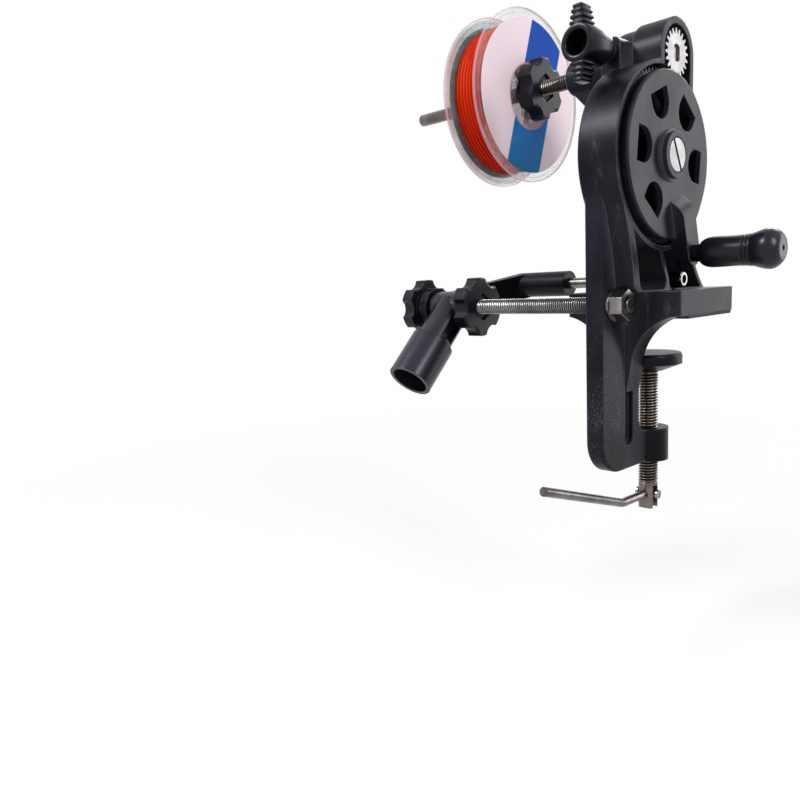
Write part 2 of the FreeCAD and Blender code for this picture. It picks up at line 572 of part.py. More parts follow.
def build_housing(frame):
    """The round wheel housing, the spindle tower on it, the bearing nose and the brake boss."""
    back, rim = "-dim.housing_back", "dim.housing_front"
    axle = AXLE[1:]
    tower = TOWER
    round_slab(frame, "YZ", back, rim, axle[0], axle[1], HOUSING)
    slab(frame, "YZ", "-dim.tower_back", rim, lambda sketch: rectangle(
        sketch, "%s - %s" % (SPINDLE_Y, tower), "%s + %s" % (SPINDLE_Y, tower), axle[1], SPINDLE_Z))
    round_slab(frame, "YZ", "-dim.tower_back", rim, SPINDLE_Y, SPINDLE_Z, tower)
    round_slab(frame, "YZ", "-dim.boss_back", "-dim.tower_back", SPINDLE_Y, SPINDLE_Z, "dim.boss_radius")
    dress(frame, "Fillet", "dim.boss_round", lambda edge: near(edge_middle(edge).x, "-dim.boss_back")
          and edge.Length > size_of("dim.boss_radius"))
    round_slab(frame, "YZ", "-dim.nose_back", "-dim.boss_back", SPINDLE_Y, SPINDLE_Z, "dim.nose_radius")
    web = "dim.nose_web_thick / 2"
    slab(frame, "XZ", "%s - %s" % (SPINDLE_Y, web), "%s + %s" % (SPINDLE_Y, web), lambda sketch: outline(
        sketch, (("-dim.nose_back", SPINDLE_Z), ("-dim.nose_back", "%s - dim.nose_radius + 1.5" % SPINDLE_Z),
                 (back, "dim.nose_web_foot"), (back, SPINDLE_Z))))
    place = "-dim.brake_place"
    left, right = "(%s - dim.brake_half)" % place, "(%s + dim.brake_half)" % place
    low, top = "(%s + %s / 2)" % (AXLE_Z, HOUSING), "(%s + dim.brake_rise)" % SPINDLE_Z
    edge = "dim.brake_round"
    slab(frame, "XZ", "-dim.brake_face", SPINDLE_Y, lambda sketch: outline(sketch, (
        (left, low), (right, low), (right, "%s - %s" % (top, edge), edge, "right"),
        ("%s - %s" % (right, edge), top), ("%s + %s" % (left, edge), top, edge, "right"),
        (left, "%s - %s" % (top, edge)))))
    # the boss for the axle screw stands out behind, and inside once the housing is hollow
    round_slab(frame, "YZ", "-dim.axle_boss_back", back, axle[0], axle[1], "dim.axle_boss_radius")
    room = "%s - dim.housing_wall" % HOUSING
    floor = "dim.back_wall - dim.housing_back"
    slab(frame, "YZ", floor, rim, lambda sketch: (
        circle(sketch, axle[0], axle[1], room),
        circle(sketch, axle[0], axle[1], "dim.axle_boss_radius")), cut=True)
    round_slab(frame, "YZ", "dim.axle_boss_front", rim, axle[0], axle[1], "dim.axle_boss_radius", cut=True)
    bore = TOWER_BORE
    round_slab(frame, "YZ", "dim.tower_floor", rim, SPINDLE_Y, SPINDLE_Z, bore, cut=True)
    slab(frame, "YZ", "dim.tower_floor", rim, lambda sketch: rectangle(
        sketch, "%s - %s" % (SPINDLE_Y, bore), "%s + %s" % (SPINDLE_Y, bore),
        low, SPINDLE_Z), cut=True)
    round_slab(frame, "YZ", "-dim.axle_boss_back", rim, axle[0], axle[1], "dim.screw_thread", cut=True)
    round_slab(frame, "YZ", "-dim.nose_back", rim, SPINDLE_Y, SPINDLE_Z, "dim.sleeve_radius", cut=True)
    round_slab(frame, "XZ", "-dim.brake_face", SPINDLE_Y, place, SPINDLE_Z,
               "dim.stud_radius + dim.running", cut=True)


def build_foot_pad():
    pad = new_body("foot_pad")
    side = "dim.foot_width / 2 - 0.5"
    slab(pad, "XY", "0", "dim.foot_pad_thick", lambda sketch: rectangle(
        sketch, "-(%s)" % side, side, "%s + 0.5" % THROAT, "dim.foot_length / 2 - 0.5"))
    dress(pad, "Fillet", "dim.foot_corner - 0.5", lambda edge: abs(
        edge.tangentAt(edge.FirstParameter).z) > 0.99 and edge_middle(edge).y > 0)


# ---------------------------------------------------------------- gears, wheel and crank


def tooth_gap(sketch, tip, root, half_pitch_gap):
    """The gap between two teeth, pointing along the sketch's own horizontal axis."""
    slope = "tan(20)"
    wide = "(%s + %s * dim.module * 1.1)" % (half_pitch_gap, slope)
    narrow = "(%s - %s * dim.module * 1.25)" % (half_pitch_gap, slope)
    outer = "(%s + dim.module * 0.1)" % tip
    outline(sketch, ((root, "-(%s)" % narrow), (outer, "-(%s)" % wide), (outer, wide), (root, narrow)))


def cut_teeth(body, teeth, back, front, phase):
    pitch_radius = "(dim.module * %s / 2)" % teeth
    gap = "(pi * dim.module / 4 + dim.tooth_backlash / 2)"
    first = slab(body, "YZ", back, front, lambda sketch: tooth_gap(
        sketch, "(%s + dim.module)" % pitch_radius, "(%s - dim.module * 1.25)" % pitch_radius, gap),
        cut=True, turn=phase)
    polar(body, [first], "X", teeth, "360")


def build_crank_wheel():
    wheel = new_body("crank_wheel", AXLE)
    zero = "0"
    tip = "dim.module * (dim.wheel_teeth / 2 + 1)"
    slab(wheel, "YZ", "dim.ring_back", "dim.ring_front", lambda sketch: (
        circle(sketch, zero, zero, tip), circle(sketch, zero, zero, RING_INNER)))
    cut_teeth(wheel, "dim.wheel_teeth", "dim.ring_back", "dim.ring_front", "dim.mesh_angle")
    slab(wheel, "YZ", "dim.ring_front", "dim.disc_back", lambda sketch: (
        circle(sketch, zero, zero, DISC + " - 1"), circle(sketch, zero, zero, RING_INNER)))
    round_slab(wheel, "YZ", "dim.disc_back", "dim.disc_front", zero, zero, DISC)
    dress(wheel, "Fillet", "dim.disc_round", lambda edge: near(edge_middle(edge).x, "dim.disc_front")
          and edge.Length > size_of(DISC) * 3)
    first = slab(wheel, "YZ", "dim.disc_back", "dim.disc_front", lambda sketch: outline(sketch, (
        (WINDOW, "-dim.window_half"), (WINDOW, "dim.window_half"),
        (WINDOW + " - dim.window_side", "dim.window_half", "dim.window_half * 1.0001", "right"),
        (WINDOW + " - dim.window_side", "-dim.window_half"))), cut=True, turn="dim.window_first")
    polar(wheel, [first], "X", "5", "240")
    round_slab(wheel, "YZ", "dim.hub_back", "dim.disc_front + 1", zero, zero, "dim.hub_radius")
    round_slab(wheel, "YZ", "dim.disc_front + 1", "dim.collar_front", zero, zero, "dim.collar_radius")
    arm_end = CRANK_OUT
    half = "dim.crank_half"
    slab(wheel, "YZ", "dim.crank_back", "dim.crank_front", lambda sketch: outline(sketch, (
        ("dim.crank_root", "-%s" % half), (arm_end, "-%s" % half, "%s * 1.0001" % half, "right"),
        (arm_end, half), ("dim.crank_root", half))), turn="dim.crank_angle")
    angle = radians(size_of("dim.crank_angle"))
    middle = Vector(0, cos(angle), sin(angle)) * size_of("dim.crank_root")
    dress(wheel, "Chamfer", "dim.crank_ramp", lambda edge: near(edge_middle(edge).x, "dim.crank_front")
          and hypot(edge_middle(edge).y - middle.y, edge_middle(edge).z - middle.z) < 0.5)
    middle *= size_of("1 + dim.crank_ramp / dim.crank_root")
    dress(wheel, "Fillet", "dim.crank_round", lambda edge: near(edge_middle(edge).x, "dim.crank_front")
          and hypot(edge_middle(edge).y - middle.y, edge_middle(edge).z - middle.z) < 0.5)
    round_slab(wheel, "YZ", "dim.head_seat", "dim.collar_front", zero, zero, "dim.collar_bore", cut=True)
    round_slab(wheel, "YZ", "dim.hub_back", "dim.head_seat", zero, zero, "dim.bush_radius", cut=True)
    slab(wheel, "YZ", "dim.crank_back", "dim.crank_front", lambda sketch: circle(
        sketch, CRANK_OUT, zero, "dim.pin_radius"), cut=True, turn="dim.crank_angle")


def build_wheel_fittings():
    ring("wheel_bush", AXLE, "X", "dim.hub_back", "dim.head_seat", "dim.axle_radius + dim.running",
         "dim.bush_radius")
    seat = "dim.axle_boss_front"
    head = "dim.head_seat + dim.joint_gap"
    screw = turned("wheel_axle_screw", AXLE, "X", (
        ("-dim.axle_boss_back", "0"), ("-dim.axle_boss_back", "dim.screw_thread"),
        (seat, "dim.screw_thread"), (seat, "dim.axle_radius"), (head, "dim.axle_radius"),
        (head, "dim.screw_head_radius"), ("dim.screw_head_front", "dim.screw_head_radius"),
        ("dim.screw_head_front", "0")))
    front = "dim.screw_head_front"
    slab(screw, "YZ", "%s - dim.slot_depth" % front, front, lambda sketch: rectangle(
        sketch, "-dim.screw_head_radius", "dim.screw_head_radius", "-dim.slot_width / 2",
        "dim.slot_width / 2"), cut=True, turn="-62")
    ring("axle_washer", AXLE, "X", seat, "%s + dim.washer_thick" % seat, "dim.axle_radius + dim.running",
         "dim.axle_boss_radius")


def build_handle():
    at = ("0", CRANK_Y, CRANK_Z)
    start, end = "dim.grip_start", "dim.grip_end"
    cap_seat = "(%s - 3)" % end
    pin_end = "(%s - 1.5 - dim.joint_gap)" % cap_seat
    turned("handle_pin", at, "X", (
        ("dim.crank_back", "0"), ("dim.crank_back", "dim.pin_radius"),
        (pin_end, "dim.pin_radius"), (pin_end, "0")))
    grip = turned("handle_grip", at, "X", (
        (start, "dim.pin_radius + dim.running"), (start, "dim.neck_radius"),
        ("%s + dim.neck_length" % start, "dim.neck_radius"),
        ("%s + dim.neck_length + 0.6" % start, "dim.neck_radius + 1.2", "9", "left"),
        ("%s + dim.neck_length + 6" % start, "dim.shank_radius"),
        ("dim.groove_first + 2.5 * dim.groove_pitch", "dim.shank_radius", "22", "right"),
        ("dim.bulb_place - 3", "dim.bulb_radius - 0.7", "9.5", "left"),
        ("dim.bulb_place + 1", "dim.bulb_radius"), ("%s - dim.grip_round" % end, "dim.bulb_radius - 0.3",
                                                   "dim.grip_round * 1.05", "left"),
        (end, "dim.bulb_radius - dim.grip_round"),
        (end, "dim.cap_radius"), (cap_seat, "dim.cap_radius"), (cap_seat, "dim.pin_radius + dim.running")))
    for index in range(3):
        middle = "(dim.groove_first + %d * dim.groove_pitch)" % index
        revolve(grip, "X", (
            ("%s - 0.6" % middle, "dim.shank_radius + 1"), ("%s - 0.6" % middle, "dim.shank_radius - 0.2"),
            ("%s - 0.3" % middle, "dim.shank_radius - dim.groove_depth"),
            ("%s + 0.3" % middle, "dim.shank_radius - dim.groove_depth"),
            ("%s + 0.6" % middle, "dim.shank_radius - 0.2"), ("%s + 0.6" % middle, "dim.shank_radius + 1")),
            cut=True)
    turned("handle_cap", at, "X", (
        (cap_seat, "1.2"), (end, "1.2"), (end, "dim.cap_radius"), (cap_seat, "dim.cap_radius")))


# ---------------------------------------------------------------- spindle, pinion and bushes


def two_flats(sketch, radius, half):
    side = "sqrt(%s ^ 2 - %s ^ 2)" % (radius, half)
    outline(sketch, ((half, "-%s" % side), (half, side, radius, "right"),
                     ("-%s" % half, side), ("-%s" % half, "-%s" % side, radius, "right")))


def build_spindle():
    flange = "(dim.pinion_back - dim.tower_floor - dim.joint_gap)"
    spindle = turned("spindle", SPINDLE, "X", (
        ("-dim.spindle_free", "0"), ("-dim.spindle_free", "dim.plain_radius - 0.6"),
        ("0.6 - dim.spindle_free", "dim.plain_radius"), ("-dim.plain_start - 1", "dim.plain_radius"),
        ("-dim.plain_start", "dim.spindle_radius"), ("dim.pinion_back - %s" % flange, "dim.spindle_radius"),
        ("dim.pinion_back - %s" % flange, "dim.sleeve_radius - 0.4"),
        ("dim.pinion_back", "dim.sleeve_radius - 0.4"),
        ("dim.pinion_back", "0")))
    slab(spindle, "YZ", "dim.pinion_back", "dim.spindle_front", lambda sketch: two_flats(
        sketch, "dim.spindle_radius", "dim.flat_half"))
    pinion = new_body("pinion", SPINDLE)
    slab(pinion, "YZ", "dim.pinion_back", "dim.pinion_front", lambda sketch: (
        circle(sketch, "0", "0", "dim.module * (dim.pinion_teeth / 2 + 1)"),
        two_flats(sketch, "dim.spindle_radius", "dim.flat_half")))
    # a tooth, not a gap, points at the wheel's axle
    cut_teeth(pinion, "dim.pinion_teeth", "dim.pinion_back", "dim.pinion_front",
              "dim.mesh_angle + 180 + 180 / dim.pinion_teeth")
    bore = "dim.spindle_radius + dim.running"
    ring("spindle_bush_front", SPINDLE, "X", "dim.tower_floor - dim.front_bush_length", "dim.tower_floor",
         bore, "dim.sleeve_radius")
    ring("spindle_bush_rear", SPINDLE, "X", "-dim.nose_back", "dim.rear_bush_length - dim.nose_back", bore,
         "dim.sleeve_radius")


# ---------------------------------------------------------------- brake


def build_brake():
    touch = "(%s - dim.spindle_radius - 0.1)" % SPINDLE_Y
    at = (BRAKE[0], "0", BRAKE[2])
    turned("brake_plug", at, "Y", (
        ("%s - dim.plug_length" % touch, "dim.stud_radius - 0.1"),
        (touch, "dim.stud_radius - 0.1"), (touch, "0"), ("%s - 1.6" % touch, "0"),
        ("%s - 1.6" % touch, "dim.pivot_radius + dim.running"),
        ("%s - dim.plug_length" % touch, "dim.pivot_radius + dim.running")))
    mouth_floor = "(dim.mouth_depth - dim.knob_outer)"
    turned("brake_stud", at, "Y", (
        (mouth_floor, "0"), (mouth_floor, "dim.stud_radius"),
        ("%s - dim.plug_length - dim.joint_gap" % touch, "dim.stud_radius"),
        ("%s - dim.plug_length - dim.joint_gap" % touch, "dim.pivot_radius"),
        ("%s - 2" % touch, "dim.pivot_radius"), ("%s - 2" % touch, "0")))
    ring("brake_lock_collar", at, "Y", "-dim.brake_face - dim.lock_thick", "-dim.brake_face",
         "dim.stud_radius + dim.running", "dim.lock_radius")
    knob = turned("wing_knob", at, "Y", (
        ("-dim.knob_outer", "dim.mouth_radius"), (mouth_floor, "dim.mouth_radius"),
        (mouth_floor, "dim.stud_radius"), ("-dim.knob_inner", "dim.stud_radius"),
        ("-dim.knob_inner", "dim.knob_radius - 3.5", "3.6", "left"),
        ("-dim.knob_inner - 3.5", "dim.knob_radius"), ("-dim.knob_outer", "dim.knob_radius")))
    for side in ("", "-"):
        slab(knob, "XZ", "0.4 - dim.knob_outer", "0.4 - dim.knob_outer + dim.wing_length",
             lambda sketch: outline(sketch, wing_outline(side)))


def wing_outline(side):
    """A stepped wing: each step is a finger rib along the knob's axis."""
    steps = 3
    right = []
    for index in range(steps):
        half = "(dim.wing_half - %d * dim.wing_narrow)" % index
        for level in (index, index + 1):
            right.append((half, "(dim.wing_reach - %d * dim.wing_step)" % (steps - level)))
    right[0] = (right[0][0], "dim.mouth_radius")
    left = [("-%s" % half, height) for half, height in reversed(right)]
    corners = [(half, "%s%s" % (side, height)) for half, height in right + left]
    return corners if not side else list(reversed(corners))


# ---------------------------------------------------------------- star knobs


def star_knob(name, at, face, away, shaft, centring=False):
    """A six-lobed knob with its flat face at X = face and its collar on the side that away points to."""
    def level(depth):
        return "(%s) %s (%s)" % (face, "-" if away == "-" else "+", depth)

    def between(start, end):
        return (level(end), level(start)) if away == "-" else (level(start), level(end))

    zero = "0"
    knob = new_body(name, at)
    low, high = between(zero, "dim.star_thick")
    round_slab(knob, "YZ", low, high, zero, zero, "dim.star_radius")
    first = round_slab(knob, "YZ", low, high, zero, "dim.scallop_centre", "dim.scallop_radius", cut=True)
    first.Profile[0].setExpression("AttachmentOffset.Rotation.Angle", "30")
    polar(knob, [first], "X", "6", "360")
    dress(knob, "Chamfer", "dim.star_edge", lambda edge: near(edge_middle(edge).x, level(zero)))
    low, high = between("dim.star_thick", "dim.star_thick + dim.neck_high")
    round_slab(knob, "YZ", low, high, zero, zero, "dim.neck_wide")
    depth = "dim.star_thick + dim.neck_high"
    if centring:
        low, high = between(depth, "%s + dim.centring_high" % depth)
        round_slab(knob, "YZ", low, high, zero, zero, "dim.centring_radius")
        depth = "%s + dim.centring_high" % depth
    low, high = between(zero, depth)
    bore = "%s + dim.running" % shaft
    round_slab(knob, "YZ", low, high, zero, zero, bore, cut=True)
    low, high = between(zero, "dim.nut_recess + dim.nut_thick")
    slab(knob, "YZ", low, high, hexagon, cut=True)
    low, high = between("dim.nut_recess", "dim.nut_recess + dim.nut_thick")
    hex_nut(name + "_nut", at, low, high, bore)


def hexagon(sketch):
    reach = "(dim.nut_flats / 2 / cos(30))"
    outline(sketch, [("%s * %s" % (reach, cos(radians(60 * side + 30))),
                      "%s * %s" % (reach, sin(radians(60 * side + 30)))) for side in range(6)])


def hex_nut(name, at, low, high, bore):
    nut = new_body(name, at)
    slab(nut, "YZ", low, high, lambda sketch: (hexagon(sketch), circle(sketch, "0", "0", bore)))


def build_spool():
    near_face = "(-dim.spool_near)"
    far_face = "(-dim.spool_near - dim.spool_width)"
    flange, wall = "dim.flange_thick", "dim.barrel_wall"
    bore = "dim.spool_bore"
    turned("line_spool", SPOOL, "X", (
        (near_face, bore), (near_face, "dim.spool_radius"),
        ("%s - %s" % (near_face, flange), "dim.spool_radius"),
        ("%s - %s" % (near_face, flange), "dim.barrel_radius"),
        ("%s + %s" % (far_face, flange), "dim.barrel_radius"),
        ("%s + %s" % (far_face, flange), "dim.spool_radius"), (far_face, "dim.spool_radius"),
        (far_face, "dim.barrel_radius - %s" % wall),
        ("%s - %s - %s" % (near_face, flange, wall), "dim.barrel_radius - %s" % wall),
        ("%s - %s - %s" % (near_face, flange, wall), "%s + %s" % (bore, wall)),
        (far_face, "%s + %s" % (bore, wall)), (far_face, bore)))
    clear = "0.2"
    ring("wound_line", SPOOL, "X", "%s + %s + %s" % (far_face, flange, clear),
         "%s - %s - %s" % (near_face, flange, clear), "dim.barrel_radius + %s" % clear, "dim.line_radius")
    ring("spool_label_near", SPOOL, "X", near_face, "%s + dim.label_thick" % near_face, "dim.label_inner",
         "dim.label_radius")
    ring("spool_label_far", SPOOL, "X", "%s - dim.label_thick" % far_face, far_face,
         "dim.barrel_radius + 1", "dim.label_radius")
    high = "(dim.star_thick + dim.neck_high + dim.joint_gap)"
    for name, face, away in (("spindle_knob_inner", "%s + %s" % (near_face, high), "-"),
                             ("spindle_knob_outer", "%s - %s" % (far_face, high), "+")):
        star_knob(name, SPINDLE, face, away, "dim.spindle_radius", centring=True)


# ---------------------------------------------------------------- support rod, rod holder and guide


def build_support_rod():
    side = "dim.column_thick / 2"
    washer, nut = "dim.rod_washer_thick", "dim.nut_thick"
    end = "(%s + %s + %s + 0.8)" % (side, washer, nut)
    turned("support_rod", ROD, "X", (
        ("-dim.rod_free", "0"), ("-dim.rod_free", "dim.rod_radius - 0.7"),
        ("0.7 - dim.rod_free", "dim.rod_radius"), ("%s - 0.7" % end, "dim.rod_radius"),
        (end, "dim.rod_radius - 0.7"), (end, "0")))
    hole = "dim.rod_radius + dim.running"
    ring("rod_washer_near", ROD, "X", side, "%s + %s" % (side, washer), hole, "dim.rod_washer_radius")
    hex_nut("rod_nut_near", ROD, "%s + %s" % (side, washer), "%s + %s + %s" % (side, washer, nut), hole)


def build_rod_holder():
    near_end, far_end = "(-dim.holder_near)", "(-dim.holder_near - dim.holder_width)"
    middle = "(%s - dim.arm_radius + 0.1)" % near_end
    holder = new_body("rod_holder", ROD)
    round_slab(holder, "YZ", far_end, near_end, "0", "0", "dim.cross_radius")
    sketch = new_sketch(holder, "YZ", middle, "dim.arm_angle")
    mouth, depth = "dim.cup_end", "(dim.cup_end - dim.cup_depth)"
    outline(sketch, (
        ("0", "0"), ("0", "dim.arm_radius - 0.1"), ("dim.cup_start", "dim.arm_radius - 0.1"),
        ("dim.cup_start + 1", "dim.cup_radius"), (mouth, "dim.cup_radius"), (mouth, "dim.cup_bore"),
        (depth, "dim.cup_bore"), (depth, "0")))
    arm = holder.newObject("PartDesign::Revolution", "rod_holder_arm")
    arm.Profile = sketch
    arm.ReferenceAxis = (sketch, ["H_Axis"])
    arm.Angle = 360
    # a long recess in the arm's near side
    half = "dim.recess_half"
    slab(holder, "YZ", "%s - dim.recess_depth" % near_end, near_end, lambda sketch: rectangle(
        sketch, "dim.recess_start", "dim.recess_end", "-%s" % half, half), cut=True, turn="dim.arm_angle")
    round_slab(holder, "YZ", far_end, near_end, "0", "0", "dim.rod_radius + dim.running", cut=True)
    high = "(dim.star_thick + dim.neck_high + dim.joint_gap)"
    star_knob("holder_knob_inner", ROD, "%s + %s" % (near_end, high), "-", "dim.rod_radius")
    eye_far = "(%s - 2 * dim.joint_gap - dim.eye_thick)" % far_end
    star_knob("holder_knob_outer", ROD, "%s + dim.joint_gap - %s" % (eye_far, high), "+", "dim.rod_radius")
    build_guide(eye_far)


def build_guide(eye_far):
    eye_near = "(%s + dim.eye_thick)" % eye_far
    arm = new_body("guide_arm")
    round_slab(arm, "YZ", eye_far, eye_near, ROD[1], ROD[2], "dim.eye_radius")
    near_end, far_end = "-dim.carrier_near", "-dim.carrier_far"
    round_slab(arm, "YZ", far_end, near_end, GUIDE[1], GUIDE[2], "dim.carrier_radius")
    # a tapered link joins the eye to the sleeve
    sections = []
    for level, left, right, low, high in (
            ("%s + dim.eye_radius * 0.7" % ROD[1], eye_far, eye_near,
             "dim.rod_height - dim.eye_radius * 0.7", "dim.rod_height + dim.eye_radius * 0.7"),
            ("dim.guide_behind", far_end, "dim.link_wide - dim.carrier_far",
             "dim.guide_height - dim.carrier_radius", "dim.guide_height + dim.carrier_radius")):
        sketch = new_sketch(arm, "XZ", level)
        rectangle(sketch, left, right, low, high)
        sections.append(sketch)
    link = arm.newObject("PartDesign::AdditiveLoft", "guide_arm_link")
    link.Profile = sections[0]
    link.Sections = [sections[1]]
    # the link clears the holder's cross tube
    round_slab(arm, "YZ", eye_near, "%s + dim.holder_width" % eye_near, ROD[1], ROD[2],
               "dim.cross_radius + 1.2", cut=True)
    round_slab(arm, "YZ", eye_far, eye_near, ROD[1], ROD[2], "dim.rod_radius + dim.running", cut=True)
    round_slab(arm, "YZ", far_end, near_end, GUIDE[1], GUIDE[2], "dim.guide_radius", cut=True)
    bevel = "0.5"
    turned("guide_rod", GUIDE, "X", (
        (far_end, "0"), (far_end, "dim.guide_radius"),
        ("dim.guide_end - dim.guide_head_length", "dim.guide_radius"),
        ("dim.guide_end - dim.guide_head_length", "dim.guide_head_radius"),
        ("dim.guide_end - %s" % bevel, "dim.guide_head_radius"),
        ("dim.guide_end", "dim.guide_head_radius - %s" % bevel), ("dim.guide_end", "dim.guide_socket"),
        ("dim.guide_end - 3", "dim.guide_socket"), ("dim.guide_end - 3", "0")))


# ---------------------------------------------------------------- clamp


def build_clamp():
    top = "(-dim.clamp_open)"
    foot = "(%s - dim.clamp_pad_thick)" % top
    nose_room = "dim.nose_pin_radius + dim.running"
    shoulder = "(%s - dim.joint_gap)" % foot
    nose_top = "(%s + dim.nose_pin_length)" % shoulder
    turned("clamp_pad", CLAMP, "Z", (
        (top, "0"), (top, "dim.clamp_pad_radius - 0.8"), ("%s - 1.5" % top, "dim.clamp_pad_radius"),
        ("%s - dim.clamp_pad_rim" % top, "dim.clamp_pad_radius"), (foot, "dim.clamp_cone_radius"),
        (foot, nose_room), ("%s + 0.2" % nose_top, nose_room), ("%s + 0.2" % nose_top, "0")))
    end = "-dim.clamp_thread_end"
    screw = turned("clamp_screw", CLAMP, "Z", (
        (nose_top, "0"), (nose_top, "dim.nose_pin_radius"), (shoulder, "dim.nose_pin_radius"),
        (shoulder, "dim.clamp_radius"), (end, "dim.clamp_radius"), (end, "dim.clevis_radius"),
        ("1 - dim.clevis_drop", "dim.clevis_radius"), ("-dim.clevis_drop", "dim.clevis_radius - 1"),
        ("-dim.clevis_drop", "0")))
    slot = "dim.clevis_slot / 2"
    reach = "dim.clamp_radius + 1"
    slab(screw, "XZ", "-(%s)" % reach, reach, lambda sketch: rectangle(
        sketch, "-%s" % slot, slot, "-dim.clevis_drop", "-dim.clevis_floor"), cut=True)
    slab(screw, "YZ", "-(%s)" % reach, reach, lambda sketch: circle(
        sketch, "0", "-dim.hinge_drop", "dim.hinge_radius"), cut=True)
    hinge = ("0", SCREW_Y, "-dim.hinge_drop")
    side, tip = "dim.clevis_radius + 0.2", "dim.hinge_reach"
    turned("clamp_hinge_pin", hinge, "X", (
        ("-%s" % tip, "0"), ("-%s" % tip, "dim.hinge_head"), ("-(%s)" % side, "dim.hinge_head"),
        ("-(%s)" % side, "dim.hinge_radius"), (side, "dim.hinge_radius"), (side, "dim.hinge_head"),
        (tip, "dim.hinge_head"), (tip, "0")))
    ring("jaw_bush", CLAMP, "Z", "-dim.jaw_boss_drop", "dim.jaw_bush_length - dim.jaw_boss_drop",
         "dim.clamp_radius + dim.running", "dim.jaw_bush_radius")
    build_lever()


def build_lever():
    """The bent handle bar, swept along its two straight runs and the arc between them."""
    hinge_y, hinge_z = size_of(SCREW_Y), -size_of("dim.hinge_drop")
    root = Vector(0, hinge_y, hinge_z)
    bend = Vector(0, -size_of("dim.lever_bend_ahead"), -size_of("dim.lever_bend_drop"))
    end = Vector(0, -size_of("dim.lever_end_ahead"), -size_of("dim.lever_end_drop"))
    inward, outward = (bend - root).normalize(), (end - bend).normalize()
    turn = acos(inward.dot(outward))
    radius = size_of("dim.lever_bend_radius")
    cut_back = radius * (1 - cos(turn)) / sin(turn)
    first, last = bend - inward * cut_back, bend + outward * cut_back
    bisector = (outward - inward).normalize()
    centre = bend + bisector * (radius / cos(turn / 2))
    middle = centre - bisector * radius
    path = Part.Wire([Part.LineSegment(root, first).toShape(), Part.Arc(first, middle, last).toShape(),
                      Part.LineSegment(last, end).toShape()])
    bar_radius = size_of("dim.lever_radius")
    section = Part.Wire([Part.Circle(root, inward, bar_radius).toShape()])
    bar = path.makePipeShell([section], True, False)
    half = size_of("dim.clevis_slot") / 2 - 0.15
    eye = Part.makeCylinder(size_of("dim.lever_eye"), 2 * half, root - Vector(half, 0, 0), Vector(1, 0, 0))
    hole = Part.makeCylinder(size_of("dim.hinge_radius + dim.running"), 20, root - Vector(10, 0, 0),
                             Vector(1, 0, 0))
    lever = doc.addObject("Part::Feature", "clamp_handle")
    lever.Label = "clamp_handle"
    lever.Shape = bar.fuse(eye).cut(hole).removeSplitter()
    PIECES.append(lever)
    length = root.distanceToPoint(first) + turn * radius + last.distanceToPoint(end)
    print("handle bar", round(bar.Volume), "of", round(length * pi * bar_radius ** 2), "mm3")


# ---------------------------------------------------------------- checks and export


def check_document():
    doc.recompute()
    for item in doc.Objects:
        if "Invalid" in item.State or "Error" in item.State:
            raise RuntimeError("%s failed: %s" % (item.Name, item.State))
        base = getattr(item, "BaseFeature", None)
        if item.TypeId in ("PartDesign::Pocket", "PartDesign::Groove") and base is not None:
            if item.Shape.Volume > base.Shape.Volume - 0.01:
                raise RuntimeError("%s cuts nothing" % item.Name)
    for piece in PIECES:
        shape = piece.Shape
        if shape.isNull() or not shape.isValid() or not shape.Solids:
            raise RuntimeError("%s has no valid solid" % piece.Label)
        if len(shape.Solids) != 1:
            raise RuntimeError("%s is %d solids" % (piece.Label, len(shape.Solids)))


def export_pieces():
    os.makedirs("parts", exist_ok=True)
    for piece in PIECES:
        piece.Shape.exportStep("parts/%s.step" % piece.Label)
    print(len(PIECES), "pieces written")


fill_sheet()
build_frame()
build_foot_pad()
build_crank_wheel()
build_wheel_fittings()
build_handle()
build_spindle()
build_brake()
build_spool()
build_support_rod()
build_rod_holder()
build_clamp()
check_document()
export_pieces()
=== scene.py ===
from math import cos, radians, sin, tau

import bmesh
import bpy
from mathutils import Matrix, Vector


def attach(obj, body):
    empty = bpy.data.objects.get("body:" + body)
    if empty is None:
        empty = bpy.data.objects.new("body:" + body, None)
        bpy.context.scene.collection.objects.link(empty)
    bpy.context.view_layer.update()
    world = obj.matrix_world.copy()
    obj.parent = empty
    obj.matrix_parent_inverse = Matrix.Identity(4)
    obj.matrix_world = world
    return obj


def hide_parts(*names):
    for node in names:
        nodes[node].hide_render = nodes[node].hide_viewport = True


# A table-clamped fishing line winder. Metres, +X to the crank side, +Y over the table, +Z up.

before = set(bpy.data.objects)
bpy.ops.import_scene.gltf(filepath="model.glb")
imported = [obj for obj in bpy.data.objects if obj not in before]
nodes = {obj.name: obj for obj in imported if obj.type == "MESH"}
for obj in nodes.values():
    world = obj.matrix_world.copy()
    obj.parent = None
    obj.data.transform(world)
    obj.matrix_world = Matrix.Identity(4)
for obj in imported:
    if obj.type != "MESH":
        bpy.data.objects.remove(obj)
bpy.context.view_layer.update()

MM = 0.001

# Gears: the crank wheel's axle, the spindle 50 mm from it, and the crank's pin. Places in mm.
AXLE_Y, AXLE_Z = -19.5, 76
GEAR_DISTANCE, SPINDLE_ANGLE = 50, radians(76.2)
CRANK_THROW, CRANK_ANGLE = 47.5, radians(-73)
SPOOL_HANG = 2.2                # how far the spool hangs below the spindle's axis

# Points on the axes of the turned pieces, in metres.
AXLE = Vector((0, AXLE_Y, AXLE_Z)) * MM
SPINDLE = Vector((0, GEAR_DISTANCE * cos(SPINDLE_ANGLE) + AXLE_Y,
                  GEAR_DISTANCE * sin(SPINDLE_ANGLE) + AXLE_Z)) * MM
SPOOL = SPINDLE - Vector((0, 0, SPOOL_HANG)) * MM
ROD = Vector((0, -49, 8)) * MM
BRAKE = Vector((-5, 0, 124.557)) * MM
CLAMP = Vector((0, -7.1, 0)) * MM
CRANK = AXLE + Vector((0, cos(CRANK_ANGLE), sin(CRANK_ANGLE))) * CRANK_THROW * MM

